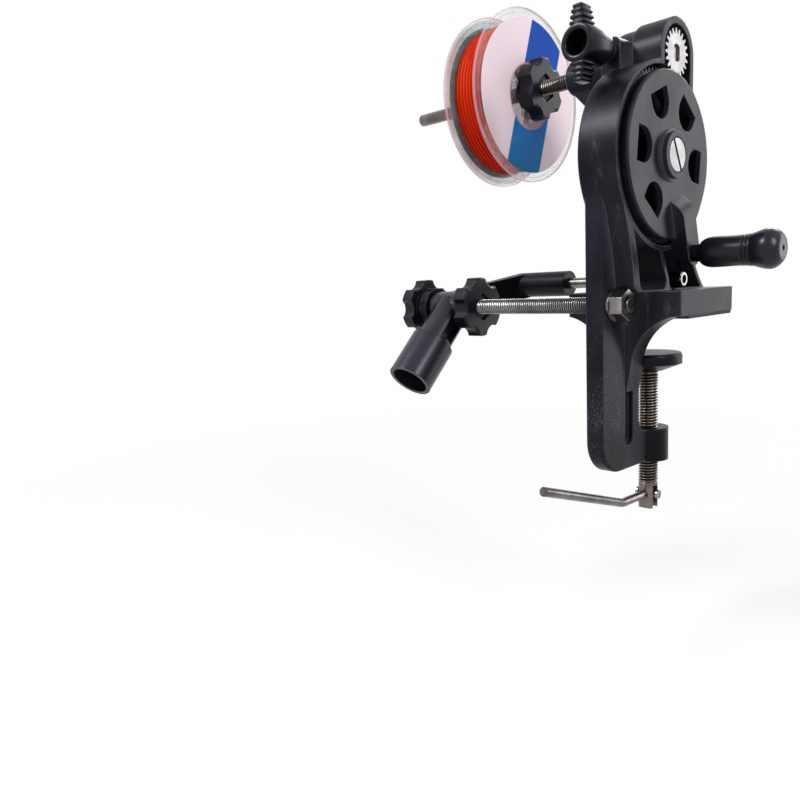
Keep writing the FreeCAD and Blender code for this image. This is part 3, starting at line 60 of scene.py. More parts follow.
# Rolled threads in mm: crest radius, core radius and pitch.
M8_CREST, M8_CORE, M8_PITCH = 3.98, 3.25, 1.25
M10_CREST, M10_CORE, M10_PITCH = 4.98, 4.1, 1.5


# ---------------------------------------------------------------- shader maths


class Value:
    """A shader socket that can be used in Python arithmetic."""

    def __init__(self, tree, socket):
        self.tree = tree
        self.socket = socket

    def maths(self, operation, *others):
        inputs = dict(enumerate((self,) + others))
        return self.tree.node("ShaderNodeMath", {"operation": operation}, inputs)

    def reflected(self, operation, other):
        return self.tree.node("ShaderNodeMath", {"operation": operation}, {0: other, 1: self})

    def __add__(self, other):
        return self.maths("ADD", other)

    def __sub__(self, other):
        return self.maths("SUBTRACT", other)

    def __mul__(self, other):
        return self.maths("MULTIPLY", other)

    def __radd__(self, other):
        return self.reflected("ADD", other)

    def __rsub__(self, other):
        return self.reflected("SUBTRACT", other)

    def __rmul__(self, other):
        return self.reflected("MULTIPLY", other)

    def __pow__(self, other):
        return self.maths("POWER", other)

    def __gt__(self, other):
        return self.maths("GREATER_THAN", other)

    def __lt__(self, other):
        return self.maths("LESS_THAN", other)

    def between(self, low, high):
        """0 below low, 1 above high and smooth in between."""
        return self.tree.node("ShaderNodeMapRange", {"interpolation_type": "SMOOTHSTEP"},
                              {"Value": self, "From Min": low, "From Max": high})


class NodeTree:
    """A tree of shader nodes that is filled from Python."""

    def __init__(self, tree):
        self.tree = tree

    def node(self, kind, settings=None, inputs=None, outlet=0):
        """Adds a node. Its settings come first, because they decide which sockets it has."""
        made = self.tree.nodes.new(kind)
        for name, setting in (settings or {}).items():
            setattr(made, name, setting)
        for name, given in (inputs or {}).items():
            self.feed(made.inputs[name], given)
        return Value(self, made.outputs[outlet])

    def feed(self, socket, given):
        """Links a value to a socket, or sets the socket to a number or colour."""
        if isinstance(given, Value):
            self.tree.links.new(given.socket, socket)
        elif isinstance(given, (tuple, list)) and socket.type == "RGBA" and len(given) == 3:
            socket.default_value = (*given, 1)
        else:
            socket.default_value = given

    def shown(self):
        """1 for a ray that shows the surroundings, in the open, in metal or through glass."""
        camera, glossy, through = [self.node("ShaderNodeLightPath", outlet=ray) for ray in
                                   ("Is Camera Ray", "Is Glossy Ray", "Is Transmission Ray")]
        return camera.maths("MAXIMUM", glossy).maths("MAXIMUM", through)


class Finish(NodeTree):
    """One material: a Principled shader and the nodes that feed it."""

    def __init__(self, name, **sockets):
        self.material = bpy.data.materials.new(name)
        self.material.use_nodes = True
        super().__init__(self.material.node_tree)
        self.shader = self.tree.nodes["Principled BSDF"]
        self.place = self.node("ShaderNodeTexCoord", outlet="Object")
        self.set(**sockets)

    def set(self, **sockets):
        for name, given in sockets.items():
            self.feed(self.shader.inputs[name.replace("_", " ")], given)

    def mix(self, factor, first, second):
        return self.node("ShaderNodeMix", {"data_type": "RGBA"}, {0: factor, 6: first, 7: second},
                         outlet=2)

    def noise(self, scale, detail=3, roughness=0.5, stretch=None, distortion=0):
        where = self.place
        if stretch:
            where = self.node("ShaderNodeMapping", None, {"Vector": where, "Scale": stretch})
        return self.node("ShaderNodeTexNoise", None,
                         {"Vector": where, "Scale": scale, "Detail": detail,
                          "Roughness": roughness, "Distortion": distortion})

    def axes(self, centre=(0, 0, 0)):
        """X, Y and Z measured from a centre, each as a value."""
        moved = self.node("ShaderNodeMapping", None,
                          {"Vector": self.place, "Location": [-c for c in centre]})
        split = self.node("ShaderNodeSeparateXYZ", None, {0: moved})
        return [Value(self, socket) for socket in split.socket.node.outputs]

    def bump(self, height, distance, strength=1.0, normal=None):
        inputs = {"Height": height, "Distance": distance, "Strength": strength}
        if normal:
            inputs["Normal"] = normal
        return self.node("ShaderNodeBump", None, inputs)

    def soft_edges(self, radius):
        """The surface's normal with its sharp edges rounded by a radius."""
        return self.node("ShaderNodeBevel", {"samples": 6}, {"Radius": radius})

    def crevices(self, distance):
        """1 deep in a groove or corner, 0 in the open."""
        return 1 - self.node("ShaderNodeAmbientOcclusion", {"samples": 6, "only_local": True},
                             {"Distance": distance}, "AO")

    def edge_mask(self, radius):
        """1 on sharp edges, 0 on faces."""
        true = self.node("ShaderNodeNewGeometry", outlet="Normal")
        soft = self.soft_edges(radius)
        agree = self.node("ShaderNodeVectorMath", {"operation": "DOT_PRODUCT"}, {0: true, 1: soft},
                          "Value")
        return 1 - agree


# ---------------------------------------------------------------- finishes

MOULDED_TINT = (0.86, 0.88, 1.0, 1)
GLOSSY_TINT = (0.88, 0.88, 1.0, 1)
SCUFFED = (0.14, 0.14, 0.16)
# Pale edges: wear, and a painted highlight along them.
WORN_EDGE_AND_HIGHLIGHT = (0.28, 0.28, 0.31)
# Paler corners: dust, and painted light in the recesses.
CORNER_DUST_AND_LIGHT = (0.07, 0.07, 0.085)
# Painted shade on the jaw's side of the lower column.
JAW_SIDE_PAINTED_SHADE = (0.001, 0.001, 0.0018)
KNOB_WORN_EDGE = (0.14, 0.14, 0.17)
# Painted shade in the knobs' corners.
KNOB_PAINTED_CORNER_SHADE = (0.001, 0.001, 0.0015)
# Painted shade in the grooves of threads and the crevices of metal.
GROOVE_PAINTED_SHADE = (0.016, 0.013, 0.011)
LINES_ALONG = {"X": (0.06, 1, 1), "Y": (1, 0.06, 1), "Z": (1, 1, 0.06)}
# Painted teal shade at the top of the far flange.
TEAL_PAINTED_SHADE = (0.1, 0.26, 0.26)
ROSY_RIM = (0.62, 0.28, 0.36)
LAYER_WIDTH = 0.0021
BAND_TURN = (0.952, 0.306)      # cosine and sine of the printed band's slope
BORE_INK = (0.75, 0.3, 0.34)


def moulded(name, colour, pale, roughness, edge, scuffs, sheen):
    """Moulded black plastic: cloudy sheen, scuffs, edges made pale by wear and by a painted
    highlight, and corners made pale by dust and by painted light.

    Below the foot it is pitted, and on the jaw's side of the lower column it is darkened with
    painted shade."""
    f = Finish(name, IOR=1.46, Specular_IOR_Level=sheen, Specular_Tint=MOULDED_TINT)
    cloud = f.noise(34, 5, 0.6)
    patch = f.noise(9, 3, 0.5)
    fine = f.noise(1100, 3, 0.6)
    y, z = f.axes()[1:]
    below = 1 - z.between(-0.012, 0.004)
    streaks = f.noise(150, 7, 0.75, stretch=(1, 1, 0.22))
    scuff = streaks.between(0.53, 0.7) * cloud.between(0.36, 0.6)
    pits = fine.between(0.54, 0.66) * below * cloud.between(0.3, 0.6)
    # Edges made pale: partly wear, partly a painted highlight along them.
    pale_edges = f.edge_mask(edge).between(0.03, 0.3) * (0.3 + 0.7 * cloud.between(0.4, 0.62))
    # Painted shade: the jaw's side of the lower column, below the table top, is darkened.
    jaw_side_painted_shade = (1 - z.between(-0.012, 0.0)) * y.between(-0.037, -0.029) * 0.9
    # Corners and recesses are made paler: partly dust, partly painted light where the pocket lies
    # in shade.
    dust_and_painted_light = f.crevices(0.02).between(0.1, 0.8) * (0.9 - jaw_side_painted_shade)
    base = f.mix(cloud.between(0.3, 0.7) * 0.6 + patch * 0.3, colour, pale)
    base = f.mix(scuff * 0.3 * scuffs + pits * 0.38 * scuffs, base, SCUFFED)
    base = f.mix(pale_edges * 0.8, base, WORN_EDGE_AND_HIGHLIGHT)
    base = f.mix(jaw_side_painted_shade, base, JAW_SIDE_PAINTED_SHADE)
    relief = fine * (0.3 + 1.4 * below) + cloud * 0.5
    f.set(Base_Color=f.mix(dust_and_painted_light, base, CORNER_DUST_AND_LIGHT),
          Roughness=roughness + 0.34 * (cloud - 0.3) - 0.1 * scuff + 0.06 * fine,
          Normal=f.bump(relief, 0.00014, 0.6, f.soft_edges(edge)))
    return f.material


def glossy_plastic(name, colour, pale, roughness, edge, sheen):
    """Smooth black plastic with faint flow marks, finger wear, and painted shade in its corners."""
    f = Finish(name, IOR=1.5, Specular_IOR_Level=sheen, Specular_Tint=GLOSSY_TINT)
    flow = f.noise(26, 3, 0.5, distortion=0.5)
    wear = f.noise(240, 5, 0.7).between(0.54, 0.78)
    pale_edges = f.edge_mask(edge).between(0.04, 0.35)
    base = f.mix(flow.between(0.3, 0.7), colour, pale)
    base = f.mix(pale_edges * (0.15 + 0.4 * flow), base, KNOB_WORN_EDGE)
    # Painted shade darkens the corners.
    f.set(Base_Color=f.mix(f.crevices(0.003) * 0.6, base, KNOB_PAINTED_CORNER_SHADE),
          Roughness=roughness + 0.12 * wear + 0.12 * flow,
          Normal=f.bump(f.noise(380, 2, 0.5), 0.00002, 0.3, f.soft_edges(edge)))
    return f.material


def metal(name, colour, dull, roughness, along="X", edge=0.0002, groove_shade=0.9, thread=None):
    """Plated or polished steel: lines along one axis, cloudy plating and painted shade in the
    grooves.

    A thread is given in metres, as a point on its axis, its crests' radius, and where it starts
    and ends. Past its ends the bar is plain and darker."""
    f = Finish(name, Metallic=1.0)
    lines = f.noise(900, 3, 0.6, stretch=LINES_ALONG[along])
    cloud = f.noise(70, 4, 0.6)
    spots = f.noise(700, 4, 0.7).between(0.6, 0.8)
    base = f.mix(cloud.between(0.34, 0.66), colour, dull)
    base = f.mix(spots * 0.35, base, [c * 0.5 for c in dull])
    if thread:
        centre, crest, start, end = thread
        x, y, z = f.axes(centre)
        run, side, up = (z, x, y) if along == "Z" else (x, y, z)
        out = (side * side + up * up) ** 0.5
        inside = (run > start) * (run < end)
        # Painted shade in the thread's grooves, below the crests.
        groove = (1 - out.between(crest - 0.00055, crest - 0.0001)) * inside
        base = f.mix((1 - inside) * 0.5, base, [c * 0.4 for c in dull])
    else:
        # Painted shade in the crevices.
        groove = f.crevices(0.0012).between(0.08, 0.5)
    f.set(Base_Color=f.mix(groove * groove_shade, base, GROOVE_PAINTED_SHADE),
          Roughness=roughness + 0.14 * cloud + 0.1 * lines + 0.1 * spots,
          Normal=f.bump(lines, 0.00002, 0.5, f.soft_edges(edge)))
    return f.material


def rubber(name):
    """Matt black rubber with a fine grain."""
    f = Finish(name, IOR=1.5)
    grain = f.noise(2200, 3, 0.6)
    f.set(Base_Color=f.mix(f.noise(50, 4), (0.012, 0.012, 0.013), (0.03, 0.03, 0.032)),
          Roughness=0.72 + 0.15 * grain, Normal=f.bump(grain, 0.00006, 0.6))
    return f.material


def clear_plastic(name):
    """Clear styrene, smoky in the flanges and rosy at their rims, with fine scratches, and painted
    teal shade towards the top of the far flange.
    """
    f = Finish(name, IOR=1.5, Specular_IOR_Level=0.5)
    x, y, z = f.axes(SPOOL)
    out = (y * y + z * z) ** 0.5
    edge = out.between(0.0455, 0.0461)
    ring = out.between(0.0432, 0.0435) * (1 - out.between(0.0437, 0.044))
    rim = edge + 0.4 * ring
    hub = 1 - out.between(0.022, 0.025)
    far = (1 - x.between(-0.088, -0.08)) * (1 - out.between(0.0445, 0.0453)) * (1 - hub)
    haze = f.noise(60, 5, 0.65).between(0.3, 0.7)
    scratch = f.noise(300, 5, 0.7, stretch=(1, 0.3, 1)).between(0.55, 0.8)
    smoky = f.mix(haze, (0.2, 0.25, 0.26), (0.34, 0.35, 0.37))
    # Painted teal shade towards the top of the far flange.
    smoky = f.mix(far * z.between(0.012, 0.04), smoky, TEAL_PAINTED_SHADE)
    body = 0.14 + 0.1 * haze + 0.4 * rim + 0.1 * hub + 0.05 * scratch
    f.set(Base_Color=f.mix(rim + hub * 0.4, smoky, ROSY_RIM),
          Alpha=body + far * (0.2 + 0.12 * haze),
          Roughness=0.05 + 0.14 * scratch,
          Normal=f.bump(haze * 0.3 + scratch * 0.4, 0.00002, 0.2))
    return f.material


def wound_thread(name):
    """Braided line in tilted layers, painted orange on the crests and towards the top, and painted
    deep red shade between them and lower down.
    """
    f = Finish(name, IOR=1.5, Specular_IOR_Level=0.1)
    x, _, z = f.axes(SPOOL)
    wander = f.noise(40, 3, 0.6, stretch=(2, 0.5, 0.5))
    tilted = x + 0.035 * z + 0.0014 * wander
    layers = (tilted * (tau / LAYER_WIDTH)).maths("SINE").between(-0.9, 0.7)
    braid = f.noise(1500, 3, 0.6, stretch=(1, 0.4, 0.4))
    shade = f.noise(70, 4, 0.6, stretch=(3, 0.4, 0.4))
    # Painted light: the line is made lighter towards the top.
    high = z.between(-0.03, 0.035)
    deep = f.mix(shade * 0.5 + high * 0.5, (0.26, 0.002, 0.001), (0.6, 0.012, 0.002))
    top = f.mix(shade * 0.4 + high * 0.6, (0.7, 0.015, 0.002), (1.0, 0.1, 0.004))
    # Painted shade between the layers and painted light on their crests.
    f.set(Base_Color=f.mix(layers * 0.8 + braid * 0.2, deep, top),
          Roughness=0.42 + 0.25 * braid,
          Normal=f.bump(braid * 0.12 + layers, 0.0005, 0.8))
    return f.material


def paper_label(name, banded):
    """A rosy white paper label. One has a plain blue band across it; the other's back is painted
    grey shade, teal towards the top.
    """
    f = Finish(name, IOR=1.45, Specular_IOR_Level=0.08)
    y, z = f.axes(SPOOL)[1:]
    fibre = f.noise(900, 4, 0.6)
    paper = f.mix(f.noise(25, 3) * 0.6 + fibre * 0.4, (0.93, 0.74, 0.83), (0.95, 0.8, 0.87))
    if banded:
        flat, steep = BAND_TURN
        across = flat * y - steep * z
        along = steep * y + flat * z
        band = across.between(-0.0092, -0.0088) * (1 - across.between(0.0194, 0.0198))
        blue = f.mix(along.between(-0.04, 0.04), (0.002, 0.17, 0.48), (0.001, 0.055, 0.4))
        paper = f.mix(band, paper, f.mix(fibre * 0.1, blue, (0.1, 0.3, 0.6)))
        bore = (y * y + z * z) ** 0.5
        paper = f.mix((1 - bore.between(0.0172, 0.0184)) * 0.8, paper, BORE_INK)
    else:
        normal = f.node("ShaderNodeNewGeometry", outlet="Normal")
        facing = f.node("ShaderNodeSeparateXYZ", None, {0: normal})
        # The back, seen through the flange, is painted grey shade that turns teal towards the top.
        back = f.mix(z.between(-0.02, 0.04), (0.6, 0.6, 0.63), (0.42, 0.56, 0.56))
        paper = f.mix(facing > 0.5, paper, back)
    f.set(Base_Color=paper, Roughness=0.45 + 0.12 * fibre, Normal=f.bump(fibre, 0.00001, 0.4))
    return f.material


def nylon(name):
    """Cream nylon with a soft, uneven surface."""
    f = Finish(name, IOR=1.53)
    f.set(Base_Color=f.mix(f.noise(120, 3), (0.75, 0.73, 0.67), (0.83, 0.81, 0.76)),
          Roughness=0.5 + 0.1 * f.noise(700), Normal=f.bump(f.noise(900), 0.00003, 0.5))
    return f.material


# Plastics: dark and pale tone, roughness, edge radius, then scuffs where moulded, and sheen.
FRAME = moulded("frame_plastic", (0.001, 0.0011, 0.0024), (0.016, 0.017, 0.025),
                0.25, 0.0011, 1.1, 0.14)
WHEEL = moulded("wheel_plastic", (0.005, 0.0045, 0.008), (0.011, 0.01, 0.016),
                0.28, 0.0006, 0.3, 0.22)
BLACK = glossy_plastic("knob_plastic", (0.002, 0.002, 0.004), (0.007, 0.007, 0.011),
                       0.23, 0.0007, 0.22)
HOLDER = glossy_plastic("holder_plastic", (0.005, 0.005, 0.008), (0.014, 0.012, 0.019),
                        0.21, 0.0006, 0.38)
ARM = glossy_plastic("guide_arm_plastic", (0.002, 0.002, 0.003), (0.005, 0.005, 0.008),
                     0.28, 0.0006, 0.14)
GRIP = glossy_plastic("grip_plastic", (0.003, 0.003, 0.006), (0.008, 0.008, 0.013),
                      0.22, 0.0005, 0.3)

# Metals: bright and dull tone, then roughness.
ZINC = metal("zinc_plate", (0.4, 0.385, 0.38), (0.2, 0.185, 0.18), 0.12)
THREAD = metal("rod_thread_steel", (0.42, 0.41, 0.41), (0.24, 0.23, 0.23), 0.16,
               thread=(ROD, 0.004, -0.1269, 0.0133))
BRONZED = metal("screw_thread_steel", (0.36, 0.31, 0.29), (0.18, 0.15, 0.14), 0.18, "Z",
                thread=(CLAMP, 0.005, -0.0868, -0.0284))
SPINDLE_STEEL = metal("spindle_steel", (0.3, 0.26, 0.25), (0.15, 0.125, 0.12), 0.1,
                      thread=(SPINDLE, 0.004, -0.1124, -0.0432))
GUIDE_STEEL = metal("guide_rod_steel", (0.3, 0.29, 0.29), (0.17, 0.16, 0.16), 0.12)
POLISHED = metal("dark_polished_steel", (0.17, 0.155, 0.15), (0.085, 0.075, 0.07), 0.07, "Y")
PINION = metal("sintered_steel", (0.42, 0.41, 0.42), (0.3, 0.29, 0.3), 0.3,
               edge=0.0001, groove_shade=0.8)
BLACKENED = metal("blackened_nut", (0.03, 0.03, 0.033), (0.016, 0.016, 0.018), 0.34)
BRASS = metal("bush_brass", (0.6, 0.44, 0.2), (0.4, 0.28, 0.12), 0.28)

# Each node's finish. A node that isn't named here is zinc plated.
FINISHES = {
    "frame": FRAME, "crank_wheel": WHEEL, "foot_pad": rubber("foot_rubber"),
    "handle_grip": GRIP, "handle_cap": GRIP, "rod_holder": HOLDER, "wing_knob": BLACK,
    "guide_arm": ARM, "clamp_pad": ARM, "brake_lock_collar": BLACK,
    "jaw_bush": BRASS, "wheel_bush": BRASS,
    "spindle_bush_front": BRASS, "spindle_bush_rear": BRASS,
    "clamp_screw": BRONZED, "clamp_handle": POLISHED, "spindle": SPINDLE_STEEL,
    "support_rod": THREAD, "guide_rod": GUIDE_STEEL, "wheel_axle_screw": PINION,
    "pinion": PINION, "brake_plug": nylon("plug_nylon"),
    "line_spool": clear_plastic("clear_styrene"), "wound_line": wound_thread("wound_braid"),
    "spool_label_near": paper_label("printed_label", True),
    "spool_label_far": paper_label("plain_label", False),
}
for knob in ("spindle_knob_inner", "spindle_knob_outer", "holder_knob_inner", "holder_knob_outer"):
    FINISHES[knob] = BLACK
    FINISHES[knob + "_nut"] = BLACKENED
for name, piece in nodes.items():
    piece.data.materials.clear()
    piece.data.materials.append(FINISHES.get(name, ZINC))


# ---------------------------------------------------------------- camera, light and floor

CAMERA_PLACE = (0.19224, -0.36363, 0.02297)
CAMERA_TURN, CAMERA_DROP, CAMERA_ROLL = 47.025, 8.917, -2.744
FLOOR_HEIGHT = -0.16
FLOOR_NEAR, FLOOR_FAR = 0.15, 0.8
FLOOR_GLOW_NEAR = 0.72          # share of even white near the object; the rest is lit and shaded
ROOM_LIGHT = 0.3                # strength of the even light that falls on the object


def set_camera():
    camera = bpy.data.objects.new("camera", bpy.data.cameras.new("camera"))
    bpy.context.scene.collection.objects.link(camera)
    camera.data.sensor_width = 36
    camera.data.lens = 33.49
    camera.data.clip_start = 0.01
    turn = (Matrix.Rotation(radians(CAMERA_TURN), 4, "Z")
            @ Matrix.Rotation(radians(90 - CAMERA_DROP), 4, "X")
            @ Matrix.Rotation(radians(CAMERA_ROLL), 4, "Z"))
    camera.matrix_world = Matrix.Translation(CAMERA_PLACE) @ turn
    bpy.context.scene.camera = camera


def area_light(name, place, target, width, height, power):
    """A white lamp at a place, turned to a target, with its size in metres and power in watts."""
    lamp = bpy.data.lights.new(name, "AREA")
    lamp.shape = "RECTANGLE"
    lamp.size, lamp.size_y = width, height
    lamp.energy = power
    light = bpy.data.objects.new(name, lamp)
    bpy.context.scene.collection.objects.link(light)
    light.location = place
    light.rotation_euler = (Vector(target) - Vector(place)).to_track_quat("-Z", "Y").to_euler()


def set_world():
    """Even white light on the object, and full white wherever the surroundings show."""
    world = bpy.data.worlds.new("studio")
    bpy.context.scene.world = world
    world.use_nodes = True
    studio = NodeTree(world.node_tree)
    background = studio.tree.nodes["Background"]
    studio.feed(background.inputs["Strength"], ROOM_LIGHT + (1 - ROOM_LIGHT) * studio.shown())
    studio.feed(background.inputs["Color"], (1, 1, 1))


def set_floor():
    """A pale floor that fades to white away from the object and keeps its shadow."""
    mesh = bmesh.new()
    bmesh.ops.create_grid(mesh, x_segments=1, y_segments=1, size=4)
    bmesh.ops.translate(mesh, verts=mesh.verts, vec=(0, 0, FLOOR_HEIGHT))
    floor = bpy.data.objects.new("floor", bpy.data.meshes.new("floor"))
    mesh.to_mesh(floor.data)
    mesh.free()
    bpy.context.scene.collection.objects.link(floor)
    f = Finish("floor_white", Roughness=0.9, Base_Color=(0.85, 0.85, 0.85))
    x, y = f.axes()[:2]
    far = ((x * x + y * y) ** 0.5).between(FLOOR_NEAR, FLOOR_FAR)
    seen = f.shown() * (FLOOR_GLOW_NEAR + (1 - FLOOR_GLOW_NEAR) * far)
    glow = f.node("ShaderNodeEmission", None, {"Color": (1, 1, 1), "Strength": 1.0})
    lit = Value(f, f.shader.outputs[0])
    both = f.node("ShaderNodeMixShader", None, {0: seen, 1: lit, 2: glow})
    f.feed(f.tree.nodes["Material Output"].inputs["Surface"], both)
    floor.data.materials.append(f.material)


set_camera()
bpy.context.scene.view_settings.view_transform = "Standard"
set_world()
set_floor()
area_light("key", (-0.45, -0.7, 0.75), (0, 0, 0.05), 0.3, 0.3, 9)
area_light("side", (0.85, -0.2, 0.5), (0, 0, 0.05), 0.25, 0.4, 5.0)
area_light("rim", (-0.1, 0.85, 0.6), (0, 0, 0.08), 0.5, 0.2, 3.5)
area_light("back", (0.52, 0.85, 0.12), (0, 0, 0.03), 0.25, 0.8, 2.2)


# ---------------------------------------------------------------- pieces

SHARP_ANGLE = radians(32)
BAR_SEGMENTS = 48
THREAD_STEPS = 20               # steps in one turn of a thread


def edges_of(made):
    return [item for item in made if isinstance(item, bmesh.types.BMEdge)]


def finish_piece(name, mesh, place, finish, body, replaced):
    """Puts a mesh made about the X axis in its place and makes it a piece of the object."""
    bmesh.ops.transform(mesh, matrix=place, verts=mesh.verts)
    bmesh.ops.recalc_face_normals(mesh, faces=mesh.faces)
    piece = bpy.data.objects.new(name, bpy.data.meshes.new(name))
    mesh.to_mesh(piece.data)
    mesh.free()
    bpy.context.scene.collection.objects.link(piece)
    piece.data.materials.append(finish)
    piece.data.polygons.foreach_set("use_smooth", [True] * len(piece.data.polygons))
    piece.data.set_sharp_from_angle(angle=SHARP_ANGLE)
    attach(piece, body)
    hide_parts(replaced)


def add_lathe(mesh, profile, steps=48):
    """Spins a run of (along, radius) points, in mm, about the X axis.

    A run that starts away from the axis is a ring's outline, and is closed first."""
    verts = [mesh.verts.new((along * MM, radius * MM, 0)) for along, radius in profile]
    edges = [mesh.edges.new(pair) for pair in zip(verts, verts[1:])]
    if profile[0][1] > 0:
        edges.append(mesh.edges.new((verts[-1], verts[0])))
    bmesh.ops.spin(mesh, geom=verts + edges, cent=(0, 0, 0), axis=(1, 0, 0), angle=tau,
                   steps=steps, use_merge=True, use_duplicate=False)
    bmesh.ops.remove_doubles(mesh, verts=mesh.verts, dist=1e-7)


def add_thread(mesh, start, end, crest, pitch):
    """A right-hand thread: one closed ridge that climbs along the X axis, between places in mm."""
    low = crest - pitch * 0.6
    ridge = ((-0.5, low), (-0.07, crest), (0.07, crest), (0.5, low))
    first = start + pitch * 0.6
    verts = [mesh.verts.new(((first + share * pitch) * MM, out * MM, 0)) for share, out in ridge]
    edges = [mesh.edges.new((verts[i], verts[(i + 1) % 4])) for i in range(4)]
    mesh.faces.new(verts)
    count = int(((end - start) / pitch - 1.2) * THREAD_STEPS)
    made = bmesh.ops.spin(mesh, geom=verts + edges, cent=(0, 0, 0), axis=(1, 0, 0),
                          angle=count * tau / THREAD_STEPS,
                          dvec=(pitch * MM / THREAD_STEPS, 0, 0), steps=count)
    bmesh.ops.contextual_create(mesh, geom=edges_of(made["geom_last"]))


def along_x(centre):
    return Matrix.Translation(centre)


def along_y(centre):
    return Matrix.Translation(centre) @ Matrix.Rotation(radians(90), 4, "Z")


def along_z(centre):
    return Matrix.Translation(centre) @ Matrix.Rotation(radians(-90), 4, "Y")


def join(mesh, other):
    """Adds a second mesh to the first."""
    data = bpy.data.meshes.new("joined")
    other.to_mesh(data)
    other.free()
    mesh.from_mesh(data)
    bpy.data.meshes.remove(data)


def add_cut_bar(mesh, start, end, radius, planes):
    """A round bar along X, in mm, trimmed by planes given as a point and the side that goes."""
    bar = bmesh.new()
    bmesh.ops.create_cone(bar, cap_ends=True, segments=BAR_SEGMENTS, radius1=radius * MM,
                          radius2=radius * MM, depth=(end - start) * MM)
    bmesh.ops.rotate(bar, verts=bar.verts, cent=(0, 0, 0),
                     matrix=Matrix.Rotation(radians(90), 3, "Y"))
    bmesh.ops.translate(bar, verts=bar.verts, vec=((start + end) / 2 * MM, 0, 0))
    for point, side in planes:
        cut = bmesh.ops.bisect_plane(bar, geom=bar.verts[:] + bar.edges[:] + bar.faces[:],
                                     clear_outer=True, plane_co=[c * MM for c in point],
                                     plane_no=side)
        bmesh.ops.contextual_create(bar, geom=edges_of(cut["geom_cut"]))
    join(mesh, bar)


def add_rounded_bar(mesh, middle, size, rounding):
    """A bar with rounded edges, from its middle and its whole sizes in mm."""
    bar = bmesh.new()
    bmesh.ops.create_cube(bar, size=1)
    bmesh.ops.scale(bar, verts=bar.verts, vec=[part * MM for part in size])
    bmesh.ops.bevel(bar, geom=bar.edges[:], offset=rounding * MM, affect="EDGES", segments=3,
                    profile=0.5, material=-1)
    bmesh.ops.translate(bar, verts=bar.verts, vec=[part * MM for part in middle])
    join(mesh, bar)


def make_wound_line():
    """Turns of line side by side between the flanges, none of them quite even."""
    low, high, core = -92.7, -74.1, 24.2
    turns = 34
    step = (high - low) / turns
    profile = [(low, core)]
    for turn in range(turns):
        crest = 39.55 - 0.3 * (1 + sin(turn * 2.39) * cos(turn * 0.83))
        if turn in (0, turns - 1):
            crest -= 0.5
        for share, dip in ((0.06, 0.26), (0.28, 0.06), (0.72, 0.06), (0.94, 0.26)):
            profile.append((low + (turn + share) * step, crest - dip))
    profile.append((high, core))
    mesh = bmesh.new()
    add_lathe(mesh, profile, 120)
    finish_piece("wound_turns", mesh, along_x(SPOOL), FINISHES["wound_line"],
                 "spool", "wound_line")


def make_spindle():
    """The long spindle: plain free end, rolled thread, and two flats inside the pinion."""
    plain, shoulder, flat = 3.6, 4, 2.85
    mesh = bmesh.new()
    add_lathe(mesh, ((-156.3, 0), (-156.3, 2.9), (-155.9, 3.35), (-155.3, plain), (-112.6, plain),
                     (-112.2, M8_CORE), (-43.4, M8_CORE), (-43.0, shoulder), (4.5, shoulder),
                     (4.5, 0)))
    add_thread(mesh, -112.6, -43.2, M8_CREST, M8_PITCH)
    add_cut_bar(mesh, 4.4, 12.9, M8_CREST, (((0, flat, 0), (0, 1, 0)),
                                            ((0, -flat, 0), (0, -1, 0))))
    finish_piece("spindle_thread", mesh, along_x(SPINDLE), SPINDLE_STEEL,
                 "spindle", "spindle")


def make_support_rod():
    """The support rod: threaded from end to end, with chamfered ends."""
    mesh = bmesh.new()
    add_lathe(mesh, ((-127, 0), (-127, 2.8), (-126.6, M8_CORE), (13, M8_CORE), (13.4, 2.8),
                     (13.4, 0)))
    add_thread(mesh, -127.2, 13.4, M8_CREST, M8_PITCH)
    finish_piece("support_rod_thread", mesh, along_x(ROD), THREAD,
                 "frame", "support_rod")


def make_clamp_screw():
    """The clamp screw with its fork. It stands along Z, so its along values are heights."""
    neck, collar, slot_half = 2.9, 4.8, 2.45
    mesh = bmesh.new()
    add_lathe(mesh, ((-18.95, 0), (-18.95, neck), (-27.9, neck), (-27.9, 4.6), (-28.4, 4.95),
                     (-29.4, M10_CORE), (-86.6, M10_CORE), (-87.4, collar), (-88.8, collar),
                     (-88.8, 0)))
    add_thread(mesh, -87.9, -28.0, M10_CREST, M10_PITCH)
    for side in (1, -1):
        add_cut_bar(mesh, -101, -88.7, collar, (((0, slot_half * side, 0), (0, -side, 0)),
                                                ((-101, 4.1 * side, 0), (-1, 0.7 * side, 0))))
    finish_piece("clamp_screw_thread", mesh, along_z(CLAMP), BRONZED,
                 "clamp_screw", "clamp_screw")


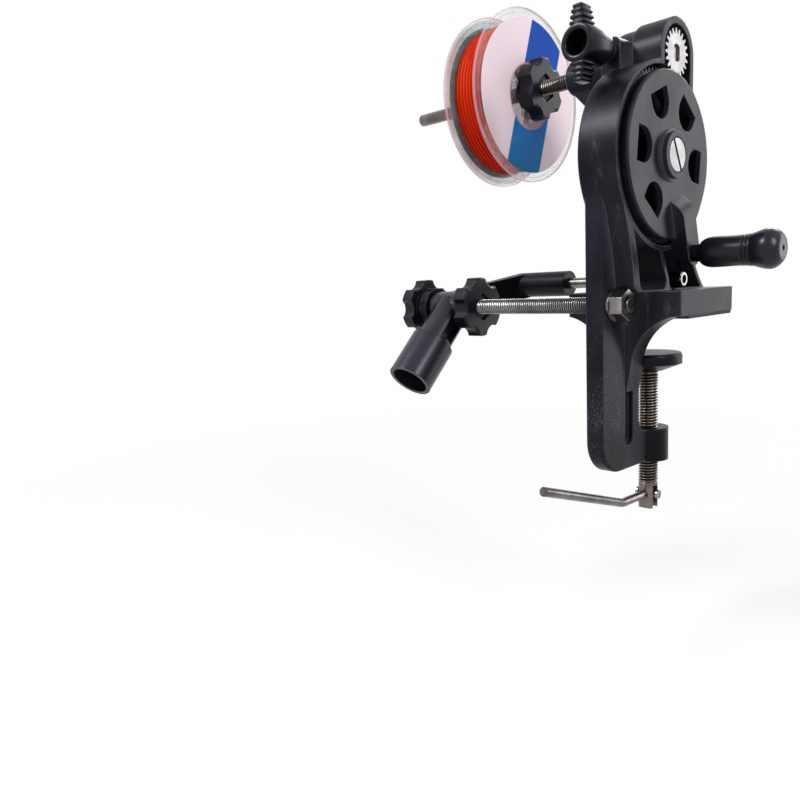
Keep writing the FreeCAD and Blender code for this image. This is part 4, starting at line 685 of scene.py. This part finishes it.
def make_grip():
    """The crank's grip: a neck, a slim waist with three grooves and a bulb cut flat at its end."""
    bore, cap_seat = 3.2, 4.62
    profile = [(23.3, bore), (23.3, 4.0), (23.5, 4.2), (26.6, 4.2), (26.8, 4.4), (27.0, 5.0),
               (27.5, 5.75), (28.5, 6.4), (30, 6.95), (32, 7.25), (34, 7.3), (38, 7.22),
               (42, 7.12), (45, 7.12)]
    for middle, radius in ((47.6, 7.22), (49.3, 7.36), (51.0, 7.6)):
        profile += [(middle - 0.6, radius), (middle - 0.3, radius - 0.45),
                    (middle + 0.3, radius - 0.43), (middle + 0.6, radius + 0.04)]
    profile += [(52.6, 7.95), (54, 8.4), (55.5, 8.85), (57, 9.17), (58.3, 9.3), (59.3, 9.24),
                (60.3, 8.95), (61.3, 8.4), (62.3, 7.6), (63.2, 6.6), (63.8, 5.6), (64, 5.0),
                (64, cap_seat), (61, cap_seat), (61, bore)]
    mesh = bmesh.new()
    add_lathe(mesh, profile, 72)
    finish_piece("grip_turned", mesh, along_x(CRANK), GRIP,
                 "handle", "handle_grip")


def make_wing_knob():
    """The brake's knob: an open mouth and two ribbed wings that narrow outwards.

    It lies along Y, so its along values are places on Y."""
    mesh = bmesh.new()
    add_lathe(mesh, ((-63.4, 6.0), (-63.4, 7.3), (-63.1, 7.9), (-62.4, 8.25), (-46.6, 8.3),
                     (-45.6, 8.0), (-44.9, 7.3), (-44.5, 6.3), (-44.5, 3.1), (-50.4, 3.1),
                     (-50.4, 5.35), (-62.7, 5.4), (-63.2, 5.6)), 64)
    ribs = ((8.6, 8.0), (11.1, 7.4), (13.5, 6.4), (15.5, 4.9))      # distance out and width
    for side in (1, -1):
        add_rounded_bar(mesh, (-58.3, 0, 10.4 * side), (8.4, 5.2, 9.6), 1.2)
        for step, (out, wide) in enumerate(ribs):
            add_rounded_bar(mesh, (-58.35, 0, out * side), (9.3 - 0.3 * step, wide, 1.75), 0.8)
    finish_piece("wing_knob_ribbed", mesh, along_y(BRAKE), BLACK,
                 "wing", "wing_knob")


make_wound_line()
make_spindle()
make_support_rod()
make_clamp_screw()
make_grip()
make_wing_knob()
